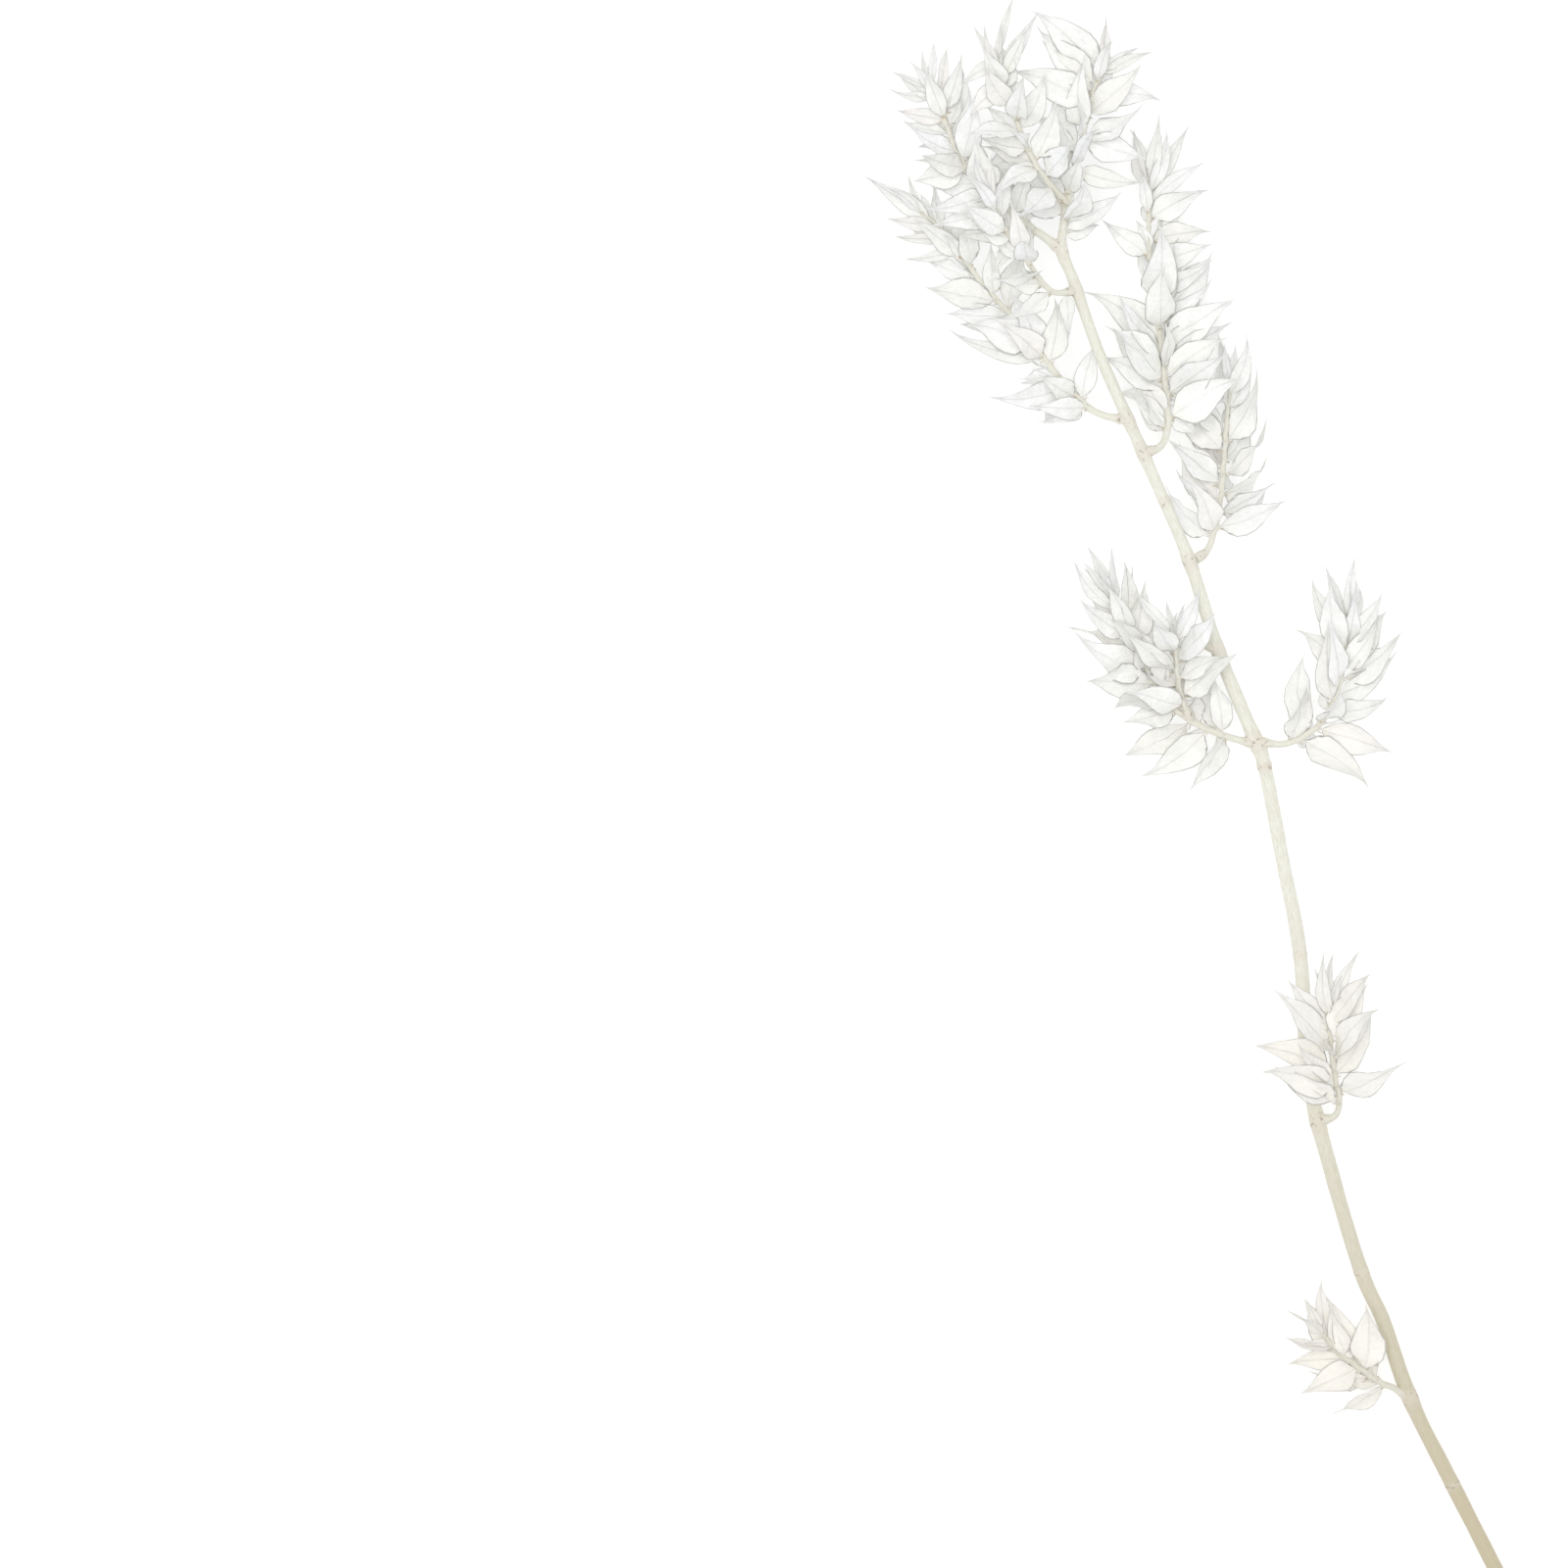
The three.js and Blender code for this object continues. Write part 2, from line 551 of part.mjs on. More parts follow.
// A shoot's socket on the axis ends where the shoot stands clear of it.
function socketLength(path, radius) {
  let s = 3;
  while (s < 25) {
    const p = pointAt(path, s);
    const nearest = Math.min(...axis.fine.map((q) => q.distanceTo(p)));
    if (nearest > axisRadius(lengthNear(axis, p.toArray())) + radius(s) + 0.4) return s;
    s += 0.25;
  }
  return s;
}

function setUpTwigs() {
  Object.entries(SHOOTS).forEach(([name, shoot]) => {
    shoot.twigs.forEach((twig, twigIndex) => {
      twig.start = twig.onAxis ? forkAt : 0;
      twig.path = twig.onAxis ? axis : smoothPath(twig.path);
      twig.radius = twig.onAxis ? axisRadius : twigRadius(twig);
      twig.socket = twig.onAxis || twigIndex > 0 ? 0 : socketLength(twig.path, twig.radius);
      for (let s = twig.start; s < twig.path.total; s += 2.5) {
        wood.push({ shoot: name, twig: twigIndex, p: pointAt(twig.path, s), r: twig.radius(s) });
      }
    });
  });
  for (let s = 0; s < forkAt; s += 2.5) {
    wood.push({ shoot: 'main_stem', twig: 0, p: pointAt(axis, s), r: axisRadius(s) });
  }
}

// ---------------------------------------------------------------- the bodies

function stemBody() {
  let body = tube(axis, 0, crownAt, axisRadius, STEM_SIDES, STEM_STEP, CUT_SLANT);
  Object.values(SHOOTS).forEach((shoot) => {
    const twig = shoot.twigs[0];
    if (twig.onAxis) return;
    body = body.add(tube(twig.path, 0, twig.socket, twig.radius, TWIG_SIDES + 1, twig.socket / 3));
  });
  const stub = smoothPath(STUB.path);
  const radius = (s) => THREE.MathUtils.lerp(STUB.r[0], STUB.r[1], s / stub.total);
  return body.add(tube(stub, 0, stub.total, radius, TWIG_SIDES + 1, 6));
}

function shootBody(name, leaves) {
  const shoot = SHOOTS[name];
  let body = null;
  shoot.twigs.forEach((twig, i) => {
    const rooted = i === 0 && !twig.onAxis;
    const from = twig.onAxis ? crownAt + SEAM : rooted ? twig.socket + SEAM : 0;
    const sides = twig.onAxis ? STEM_SIDES : rooted ? TWIG_SIDES + 1 : TWIG_SIDES;
    const solid = tube(twig.path, from, twig.path.total, twig.radius, sides, TWIG_STEP);
    body = body === null ? solid : body.add(solid);
  });
  leaves.forEach((leaf) => {
    body = body.add(leafSolid(leaf));
  });
  return body;
}

function toMesh(solid, name, material) {
  const mesh = solid.getMesh();
  const positions = new Float32Array(mesh.numVert * 3);
  for (let i = 0; i < mesh.numVert; i += 1) {
    positions[i * 3] = mesh.vertProperties[i * mesh.numProp];
    positions[i * 3 + 1] = mesh.vertProperties[i * mesh.numProp + 1];
    positions[i * 3 + 2] = mesh.vertProperties[i * mesh.numProp + 2];
  }
  const geometry = new THREE.BufferGeometry();
  geometry.setAttribute('position', new THREE.BufferAttribute(positions, 3));
  geometry.setIndex(new THREE.BufferAttribute(new Uint32Array(mesh.triVerts), 1));
  geometry.computeVertexNormals();
  const result = new THREE.Mesh(geometry, material);
  result.name = name;
  return result;
}

// Pale wood, cream with a touch of yellow.
function woodMaterial() {
  return new THREE.MeshStandardMaterial({ color: 0xe4dcc8, roughness: 0.7, metalness: 0 });
}

// Bleached leaf, dry as paper.
function leafMaterial() {
  return new THREE.MeshStandardMaterial({ color: 0xf0eee8, roughness: 0.8, metalness: 0, side: THREE.DoubleSide });
}

// ---------------------------------------------------------------- the stem

setUpTwigs();

const stem = new THREE.Group();
stem.position.copy(FORK);
stem.add(toMesh(stemBody(), 'main_stem', woodMaterial()));

const grown = {};
Object.entries(SHOOTS).forEach(([name, shoot]) => {
  grown[name] = [];
  (shoot.feet ?? []).forEach((foot) => placeLeaf(footLeaf(shoot.twigs[foot.twig], foot), name, grown[name]));
  (shoot.shown ?? []).forEach((leaf, i) => {
    placeLeaf(shownLeaf(shoot.twigs[leaf.twig], leaf, i), name, grown[name]);
  });
});
Object.keys(SHOOTS).forEach((name) => {
  grown[name].push(...growShoot(name));
  stem.add(toMesh(shootBody(name, grown[name]), name, leafMaterial()));
});

const part = new THREE.Group();
part.add(stem);

export default part;
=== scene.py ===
import math

import bpy
import numpy as np
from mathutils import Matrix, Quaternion, Vector


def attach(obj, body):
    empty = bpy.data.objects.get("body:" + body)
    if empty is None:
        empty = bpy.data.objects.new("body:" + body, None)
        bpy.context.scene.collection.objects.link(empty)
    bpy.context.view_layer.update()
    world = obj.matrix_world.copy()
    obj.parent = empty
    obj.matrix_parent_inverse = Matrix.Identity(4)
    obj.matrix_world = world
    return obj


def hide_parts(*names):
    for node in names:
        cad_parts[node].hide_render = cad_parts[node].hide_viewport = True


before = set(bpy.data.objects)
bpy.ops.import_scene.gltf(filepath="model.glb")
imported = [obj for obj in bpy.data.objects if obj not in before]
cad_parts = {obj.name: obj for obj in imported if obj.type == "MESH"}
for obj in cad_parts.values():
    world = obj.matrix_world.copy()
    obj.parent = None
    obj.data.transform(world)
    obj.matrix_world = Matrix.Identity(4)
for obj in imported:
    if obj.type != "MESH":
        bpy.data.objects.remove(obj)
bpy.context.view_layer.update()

print("frame loaded:", len(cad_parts), "nodes")

up = Vector((0, 0, 1))
fork = Vector((-63.4, 238.1, 0))   # where the crown forks, in mm; the points below are given from here
perMetre = 1000


def toFrame(p):
    return (Vector(p) + fork) / perMetre


def linear(hexColour):
    parts = [int(hexColour[i:i + 2], 16) / 255 for i in (0, 2, 4)]
    return tuple(c / 12.92 if c <= 0.04045 else ((c + 0.055) / 1.055) ** 2.4 for c in parts) + (1,)


# a socket is fed a value, another socket, or a node, which stands for its first output
def addNode(tree, kind, feeds=None, **settings):
    made = tree.nodes.new(kind)
    for name, value in settings.items():
        setattr(made, name, value)
    for socket, value in (feeds or {}).items():
        if isinstance(value, bpy.types.Node):
            value = value.outputs[0]
        if isinstance(value, bpy.types.NodeSocket):
            tree.links.new(value, made.inputs[socket])
        else:
            made.inputs[socket].default_value = value
    return made


# gives a ramp its colours, each by its place from 0 to 1
def setTones(ramp, tones):
    marks, places = ramp.color_ramp.elements, sorted(tones)
    marks[0].position, marks[1].position = places[0], places[-1]
    marks[0].color, marks[1].color = linear(tones[places[0]]), linear(tones[places[-1]])
    for place in places[1:-1]:
        marks.new(place).color = linear(tones[place])


# How the stem grew. Points and lengths are in mm.

mainAxis = {
    "points": [
        [200.3, -572.7, 3.05], [185.4, -540.4, 4.0], [169.9, -510, 5.6], [151.6, -474.2, 7.6],
        [141.7, -454.9, 8.8], [134.9, -438.5, 9.8], [127.3, -416.1, 11.2], [118.6, -396.7, 12.6],
        [106.8, -358, 15.5], [97.7, -321.1, 18.6], [93.9, -272.5, 22.6], [86.6, -234.5, 26],
        [79.5, -199, 29.6], [75, -187, 30.8], [61.2, -154.3, 34.4], [49.4, -118.6, 38],
        [31.5, -77.9, 42.6], [25.8, -65.4, 43.8], [14.4, -39.5, 46], [4.6, -12.2, 48],
        [0, 0, 49], [1.1, 13.7, 51], [4.2, 29.6, 54], [7.6, 42.9, 57], [11.4, 58.1, 58.5],
        [15.2, 69.5, 58]],
    "fork": [0, 0, 49],
    # its radius below the fork, by the share of the way there, and then at the foot and tip of the leader
    "radii": [[0, 3.0], [0.45, 2.87], [0.62, 2.7], [0.75, 2.55], [0.84, 2.3], [1, 2.05]],
    "leaderRadii": [1.7, 0.82],
    "leaderFrom": -2, "leaderOver": 8,                        # where the one passes into the other
    "swell": 0.42, "swellWidth": 4.5, "swellMost": 0.6,       # thicker at each joint
    "scarAt": [79.5, -199, 29.6], "scarHeight": 0.45, "scarWidth": 1.6,
    # a short broken shoot: how strong its tints are, and the rings of its broken end
    "stub": {"path": [[61.2, -154.3, 34.4], [56.1, -152.4, 35.6], [50.6, -151.2, 36.6]], "r": [1.5, 1.15],
             "steps": 14, "tint": 0.3, "tintMore": 0.6, "straw": 0.3,
             "brokenRings": [0.85, 0.5, 0.15], "brokenDepth": 0.25, "brokenPith": 0.8},
    # faint rings where scales fell off
    "oldNodes": [[118.6, -396.7, 12.6], [93.9, -272.5, 22.6], [155, -481, 7.22], [40, -97, 40.44]],
    "oldNodeHeight": 0.14, "oldNodeWidth": 1.2,
    "crownFrom": 30,           # the crown starts this far below the fork
    "cutSlant": 0.32,          # how far the cut leans, as a share of the radius
    # rings of the cut face: their share of the radius, and how far they are sunk in
    "cutRings": [[0.12, 0.1], [0.35, 0.06], [0.6, 0.0], [0.86, 0.02], [0.985, 0.06]],
    "cutOver": 0.3,            # how far up the axis the colour of the cut runs
    # uneven in girth past the foot: share of the radius, mm to a radian of the wave, and where that starts
    "waves": [[0.018, 7.3, 0], [0.012, 3.1, 2]], "wavesOver": 40,
    # the straw tint darkens the lower axis: partly its own straw colour, partly painted shade
    "straw": 0.08, "strawMore": 0.92, "strawFall": 1.7, "strawFrom": 0.15,    # from the crown down to the cut
    "sides": 22, "step": 1.4, "firstRing": 0.16,
}

# "shown" leaves, "tucked" ones and "feet" are laid one by one: twig, share of the way along it, tip and width
shoots = {
    "crown_spray": {"twigs": [
        {"onAxis": True, "bare": 7, "leaf": 27, "end": 0, "pitch": 5, "seed": 3},
        {"path": [[0, 0, 49], [-11.4, 8, 51], [-18.6, 12.9, 53], [-26.2, 20.5, 55], [-38, 32.3, 56],
                  [-42.9, 42.9, 55], [-47.5, 55.5, 52.5], [-52.4, 63.1, 49.5]],
         "bare": 13, "leaf": 26, "seed": 7, "r": [1.65, 0.82]},
        {"path": [[2, 17, 51.6], [-4, 23.5, 57], [-10.3, 31, 63], [-16, 42, 69], [-20.5, 53.2, 74],
                  [-24, 63.5, 77.5], [-26.4, 71.6, 79]],
         "bare": 11, "leaf": 25, "end": 0, "pitch": 4.5, "seed": 12, "r": [1.3, 0.78]},
        {"path": [[5.6, -15.5, 47.8], [-4.2, -16.3, 54], [-13.7, -5.7, 61], [-22.4, 6.8, 66],
                  [-28.1, 17.5, 69]],
         "bare": 12, "leaf": 25, "pitch": 5, "seed": 17, "r": [1.25, 0.78]}],
        "shown": [
            (0, 1, [-12.2, 92.3, 61], 15), (0, 0.8, [-19, 70.7, 63.4], 13),
            (0, 0.857, [-9.1, 79, 59.5], 10.5),
            (0, 0.193, [-22.4, 24.7, 60], 13), (0, 0.841, [38.4, 60.8, 55.5], 10.5),
            (0, 0.607, [32.7, 33.4, 50.9], 12), (0, 0.438, [30, 22, 48.3], 9),
            (0, 0.101, [24.3, 20.9, 47], 9.5), (0, 1, [17.1, 91.6, 60], 4.6),
            (0, 0.973, [29.6, 79, 56.1], 4.2), (0, 0.953, [35, 77.9, 53.2], 5),
            (2, 0.99, [-19.8, 96.9, 80.9], 4.6), (2, 0.904, [-8.7, 89.7, 75.9], 6),
            (2, 0.97, [-41.4, 61.2, 74.7], 5.4), (2, 0.844, [-38.8, 49.4, 70.9], 8),
            (2, 0.663, [-17.5, 65.4, 75.9], 7), (2, 0.318, [-30.8, 41, 61], 9),
            (1, 0.717, [-56.2, 39.5, 51.1], 5.5), (1, 0.57, [-57.8, 25.5, 50], 12),
            (1, 0.811, [-64.6, 53.2, 48.9], 8), (3, 0.493, [-13.3, 9.1, 64], 5),
            (3, 0.688, [-33.8, 6.1, 61.6], 8), (3, 0.778, [-40.3, 14.8, 68], 10)],
        "tucked": [
            (0, 0.9, [-12.2, 84.7, 57], 12), (0, 0.45, [-9.9, 55.5, 52], 10),
            (0, 0.08, [15.2, 10.6, 46], 8.5), (2, 0.55, [-4.6, 64.6, 62], 10),
            (3, 0.08, [3, -34.2, 43], 6.5), (1, 0.93, [-68.8, 59.3, 50], 4.5),
            (1, 0.75, [-63.8, 47.9, 46], 7), (1, 0.6, [-56.2, 35, 46], 5)]},
    "left_spray": {"twigs": [
        {"path": [[25.8, -65.4, 43.8], [16.3, -63.5, 42.4], [9.5, -59.7, 41], [3.8, -53.6, 39.6],
                  [-4.2, -44.1, 37], [-10.6, -34.2, 34.5], [-16, -27.5, 32.5], [-29.3, -12.2, 28],
                  [-40.7, 3, 23.5], [-48.6, 12.9, 20], [-54.3, 17.5, 18]],
         "bare": 17, "leaf": 28, "pitch": 5.6, "seed": 31, "r": [1.42, 0.82]}],
        "shown": [
            (0, 0.259, [-17.9, -50.9, 39.6], 4.6), (0, 0.213, [-7.2, -66.5, 33.7], 9.5),
            (0, 0.166, [11.4, -33.1, 38], 9), (0, 0.326, [1.5, -17.9, 34.9], 12),
            (0, 0.348, [-45.6, -34.6, 30.4], 7.8), (0, 0.403, [-36.9, -24.3, 38], 14),
            (0, 0.378, [-17.9, -14.8, 38.6], 11), (0, 0.918, [-68.4, 14.4, 17.6], 6.2),
            (0, 0.865, [-66.1, 6.5, 17.4], 6.2), (0, 0.811, [-61.2, -3, 17], 5.4)],
        "tucked": [(0, 0.62, [-27.4, 3, 36], 7.5)],
        "feet": [(0, 0.93, [-76.4, 33.4, 0], 8)]},
    "right_spray": {"twigs": [
        {"path": [[31.5, -77.9, 42.6], [38.2, -75.6, 40.6], [41.2, -69.2, 38.6], [41.6, -62.3, 36.6],
                  [40.7, -51.3, 33.6], [39.1, -40.3, 31], [38.8, -28.1, 28.4], [36.9, -13.3, 25.6],
                  [35.3, 1.1, 22.6], [35, 15.6, 19.4], [35.7, 30, 16.4]],
         "bare": 15, "leaf": 34, "end": 0, "pitch": 5.2, "seed": 42, "r": [1.45, 0.82]}],
        "shown": [
            (0, 0.99, [40.3, 56.2, 19.6], 6.6), (0, 0.921, [57, 39.5, 19.3], 6.4),
            (0, 0.864, [58.1, 28.9, 21.7], 11), (0, 0.789, [60, 12.5, 18.5], 9.5),
            (0, 0.705, [60.4, 4.2, 24.6], 10), (0, 0.615, [61.6, -4.6, 22.7], 8),
            (0, 0.431, [68.4, -16.7, 29.8], 14.5), (0, 0.315, [65, -29.3, 28.8], 13),
            (0, 0.257, [66.1, -58.5, 28.5], 12), (0, 0.179, [54.7, -68.8, 30.9], 9),
            (0, 0.879, [32.3, 34.2, 21.3], 4.8), (0, 0.747, [31.2, 15.2, 19.6], 6),
            (0, 0.737, [16, 12.2, 24.9], 9), (0, 0.588, [31.9, 0.8, 28.3], 5.4),
            (0, 0.449, [10.6, -11, 30.4], 14.5), (0, 0.266, [17.5, -36.5, 31.2], 12.5),
            (0, 0.179, [29.6, -45.6, 31.9], 9)],
        "tucked": [
            (0, 0.33, [17.1, -33.4, 24], 9), (0, 0.12, [28.9, -57, 33], 8),
            (0, 0.5, [62.3, -12.9, 26], 7), (0, 0.95, [46.7, 49.4, 17], 6)],
        "feet": [(0, 0.95, [52.4, 53.5, 0], 6.5)]},
    "lower_left_spray": {"twigs": [
        {"path": [[76.4, -190.5, 30.5], [65, -187.7, 31.6], [53.2, -182.8, 33], [44.5, -177.1, 34.4],
                  [38, -169.5, 35.6], [32.6, -160.2, 36.6], [25.8, -147, 37.4], [19.5, -132.8, 37.8]],
         "bare": 13, "leaf": 30, "seed": 53, "r": [1.45, 0.82]},
        {"path": [[50.5, -181.3, 33.3], [46, -170, 40], [44.2, -158, 45], [43.6, -146, 48.5]],
         "bare": 8, "leaf": 26, "seed": 58, "r": [1.1, 0.72]}]},
    "upper_back_spray": {"twigs": [
        {"path": [[52.4, -119, 37.9], [57.4, -114.5, 34.8], [60.8, -104, 31.4], [63, -91, 28],
                  [64.4, -77, 25], [65.4, -63, 22.4], [67, -50, 20.4]],
         "bare": 13, "leaf": 30, "seed": 64, "r": [1.38, 0.78]}]},
    "lower_right_spray": {"twigs": [
        {"path": [[76.2, -189.6, 30.6], [87, -190.4, 32.4], [96, -186.6, 33.6], [103.4, -179, 34],
                  [108, -168.4, 33.6], [110.6, -155.6, 32.6], [112, -142, 31]],
         "bare": 14, "leaf": 31, "seed": 73, "r": [1.42, 0.82]}]},
    "low_right_spray": {"twigs": [
        {"path": [[101.2, -337.5, 17.2], [107.6, -335.4, 20.4], [109.2, -329, 23], [107, -319.1, 25.4],
                  [105.3, -306.7, 28], [104.5, -292.2, 30]],
         "bare": 14, "leaf": 33, "seed": 81, "r": [1.42, 0.82]}]},
    "low_left_spray": {"twigs": [
        {"path": [[138, -446.5, 9.2], [131.1, -442.2, 12.4], [125.4, -439.6, 14.6], [116.7, -433.5, 17.4],
                  [107.9, -426.6, 19.4], [101.8, -418.5, 20.6]],
         "bare": 13, "leaf": 27, "seed": 94, "r": [1.38, 0.78]}]},
}
# where bare wood or the floor shows from above: x, y and how far round it leaves stay away
openPlaces = np.array([
    (11.4, 35.3, 2.7), (17.5, 34.6, 3.8), (24.3, 32.7, 3.1), (28.1, 27.4, 3.5), (26.6, 15.2, 5),
    (18.2, 19, 1.9), (10.6, -5.3, 5.4), (19.8, -7.2, 5.4), (16, 0, 4.2), (25.8, -5.3, 3.5),
    (11.4, -16, 2.3), (16.7, -22, 2.7), (-7.6, 1.1, 3.1), (-6.5, -5.3, 3.1), (-1.9, 6.8, 2.7),
    (0, 0, 4.2), (-5.3, 5.7, 3.1), (-10.3, 9.1, 2.7), (0.8, 9.9, 3.1), (-28.1, -0.4, 3.1),
    (-6.8, -25.5, 1.9), (3, -43.3, 3.8), (15.2, -57.8, 3.8), (7.2, -35, 3.1), (6.1, -16, 3.8),
    (9.9, -24.3, 3.8), (12.9, -32.3, 2.7), (20.1, -52.1, 3.5), (23.9, -61.6, 3.5),
    (-12.9, 45.6, 2.3), (-6.1, -16, 3.1)])

twigLook = {
    "sides": 10, "step": 0.8,
    "zigzag": 0.24,                             # how far each leaf pulls its twig aside
    "knuckle": 0.2, "knuckleWidth": 0.7, "knuckleBelow": 0.3,
    "flare": 0.55, "flareWidth": 4.5,           # thicker where it leaves the axis
    "collar": 0.4, "collarAt": 3, "collarWidth": 2.2,
    "straw": 0.06, "strawMore": 0.24, "strawBelow": -150, "strawOver": 250,   # lower shoots are older
    "grainShift": 60,                           # so no two twigs share their grain
    "dome": 0.8, "domeSteps": 3, "domeLeft": 0.4,                             # the rounded end of a twig
}
socketRule = {"least": 3, "most": 25, "step": 0.25, "clear": 0.4, "sides": 12}
woodSpacing = 2.5                               # between the points of wood that leaves keep clear of
smoothSteps = 24                                # fine steps between two points of a path


# a repeatable draw from 0 to 1, for one use at one place of a twig
def draw(seed, index, use):
    s = math.sin(seed * 127.1 + index * 311.7 + use * 74.7) * 43758.5453
    return s - math.floor(s)


def spread(seed, index, use):
    return draw(seed, index, use) * 2 - 1


def ease(t):
    c = min(1, max(0, t))
    return c * c * (3 - 2 * c)


def lerp(a, b, t):
    return a + (b - a) * t


def hump(s, at, width):
    return math.exp(-((s - at) / width) ** 2)


# a smooth path through the points, with the length so far at each fine step
def smoothPath(points):
    p = [np.array(q, float) for q in points]
    p = [2 * p[0] - p[1], *p, 2 * p[-1] - p[-2]]
    fine = []
    for i in range(1, len(p) - 2):
        m0, m1 = (p[i + 1] - p[i - 1]) / 2, (p[i + 2] - p[i]) / 2
        for k in range(smoothSteps + (i == len(p) - 3)):
            t = k / smoothSteps
            fine.append(p[i] + m0 * t + (-3 * p[i] + 3 * p[i + 1] - 2 * m0 - m1) * t ** 2
                        + (2 * p[i] - 2 * p[i + 1] + m0 + m1) * t ** 3)
    fine = np.array(fine)
    lengths = np.concatenate([[0], np.cumsum(np.linalg.norm(np.diff(fine, axis=0), axis=1))])
    return {"fine": fine, "lengths": lengths, "total": float(lengths[-1])}


def pointAt(path, s):
    i = min(len(path["lengths"]) - 1, max(1, int(np.searchsorted(path["lengths"], s))))
    a, b = path["lengths"][i - 1], path["lengths"][i]
    return Vector(path["fine"][i - 1] + (path["fine"][i] - path["fine"][i - 1]) * (s - a) / (b - a))


# which way a path runs, and level and upright across it
def frameAt(path, s):
    along = (pointAt(path, min(path["total"], s + 0.5)) - pointAt(path, max(0, s - 0.5))).normalized()
    level = up.cross(along).normalized()
    return along, level, along.cross(level)


def lengthNear(path, point):
    gap = np.linalg.norm(path["fine"] - np.array(point, float), axis=1)
    return float(path["lengths"][int(np.argmin(gap))])


axis = smoothPath(mainAxis["points"])
forkAt = lengthNear(axis, mainAxis["fork"])
crownAt = forkAt - mainAxis["crownFrom"]
scarAt = lengthNear(axis, mainAxis["scarAt"])
innerShoot = shoots["crown_spray"]["twigs"][3]
joints = [lengthNear(axis, shoot["twigs"][0]["path"][0]) for shoot in shoots.values()
          if "path" in shoot["twigs"][0]]
joints += [lengthNear(axis, mainAxis["stub"]["path"][0]), lengthNear(axis, innerShoot["path"][0]), forkAt - 1]


def axisRadius(s):
    below = float(np.interp(s / forkAt, *zip(*mainAxis["radii"])))
    above = lerp(*mainAxis["leaderRadii"], min(1, max(0, s - forkAt) / (axis["total"] - forkAt)))
    radius = lerp(below, above, ease((s - forkAt - mainAxis["leaderFrom"]) / mainAxis["leaderOver"]))
    swell = sum(mainAxis["swell"] * hump(s, joint, mainAxis["swellWidth"]) for joint in joints)
    scar = mainAxis["scarHeight"] * hump(s, scarAt, mainAxis["scarWidth"])
    return radius + min(mainAxis["swellMost"], swell) + scar


def twigRadius(twig, s):
    if twig.get("onAxis"):
        return axisRadius(s)
    flare = twigLook["flare"] * hump(s, 0, twigLook["flareWidth"])
    return lerp(*twig["r"], s / twig["line"]["total"]) + flare


# the socket that a shoot grows out of ends where the shoot stands clear of the axis
def socketLength(twig):
    s = socketRule["least"]
    while s < socketRule["most"]:
        p = pointAt(twig["line"], s)
        gap = np.linalg.norm(axis["fine"] - np.array(p), axis=1).min()
        if gap > axisRadius(lengthNear(axis, p)) + twigRadius(twig, s) + socketRule["clear"]:
            break
        s += socketRule["step"]
    return s


wood = []          # (shoot, twig), point and radius
for name, shoot in shoots.items():
    for i, twig in enumerate(shoot["twigs"]):
        twig["start"] = forkAt if twig.get("onAxis") else 0
        twig["line"] = axis if twig.get("onAxis") else smoothPath(twig["path"])
        twig["socket"] = 0 if twig.get("onAxis") or i else socketLength(twig)
        for s in np.arange(twig["start"], twig["line"]["total"], woodSpacing):
            wood.append(((name, i), pointAt(twig["line"], s), twigRadius(twig, s)))
for s in np.arange(0, forkAt, woodSpacing):
    wood.append((("main_stem", 0), pointAt(axis, s), axisRadius(s)))
woodOwners = [owner for owner, point, radius in wood]
woodPoints = np.array([point for owner, point, radius in wood])
woodRadii = np.array([radius for owner, point, radius in wood])
print("paths laid:", len(wood), "wood points")


# Leaves. Each grown one is kept clear of the wood, the floor and the leaves before it; the listed ones are
# laid as given.

# the stalk's half width in mm and its share of the length, and the curve of the blade with its highest value
leafShape = {"stalk": 0.5, "stalkShare": 0.08, "rise": 0.75, "taper": 1.75, "most": 0.2172}
leafRule = {
    "pitch": 3.5, "crowd": 0.45, "smallPitch": 8.5,     # spacing, and how much closer it gets near the tip
    "pitchDraw": (0.88, 0.24), "smallDraw": (0.8, 0.4), # the least share of a pitch, and what a draw adds
    "lastMain": 1.2, "lastSmall": 2,                    # no leaf starts so near the end of a twig
    "firstSmall": 1.2,                                  # small ones start so far past the first main one
    "floorGap": 1.3, "woodGap": 1.5, "ownGap": 2.0, "otherGap": 4.6,
    "farApart": 90,                                     # leaves rooted further apart than this never meet
    "smallGaps": 0.5, "bunchGaps": 0.35,                # shares of the gaps, for smaller leaves
    "forward": 0.18, "tipFrom": 0.7, "tipOver": 0.3,
    "feelers": (0.22, 0.38, 0.55, 0.72, 0.87),          # shares of a leaf's length where gaps are measured
}
# the draws of main leaves start at index 0, and those of each other kind at one of their own
firstIndex = {"end": 80, "feet": 90, "small": 100, "shown": 200, "bunch": 300, "tucked": 400}


# half the width of a leaf by the share of its length, 1 where it is widest
def leafOutline(s):
    t = min(1, max(0, (s - leafShape["stalkShare"]) / (1 - leafShape["stalkShare"])))
    return t ** leafShape["rise"] * (1 - t) ** leafShape["taper"] / leafShape["most"]


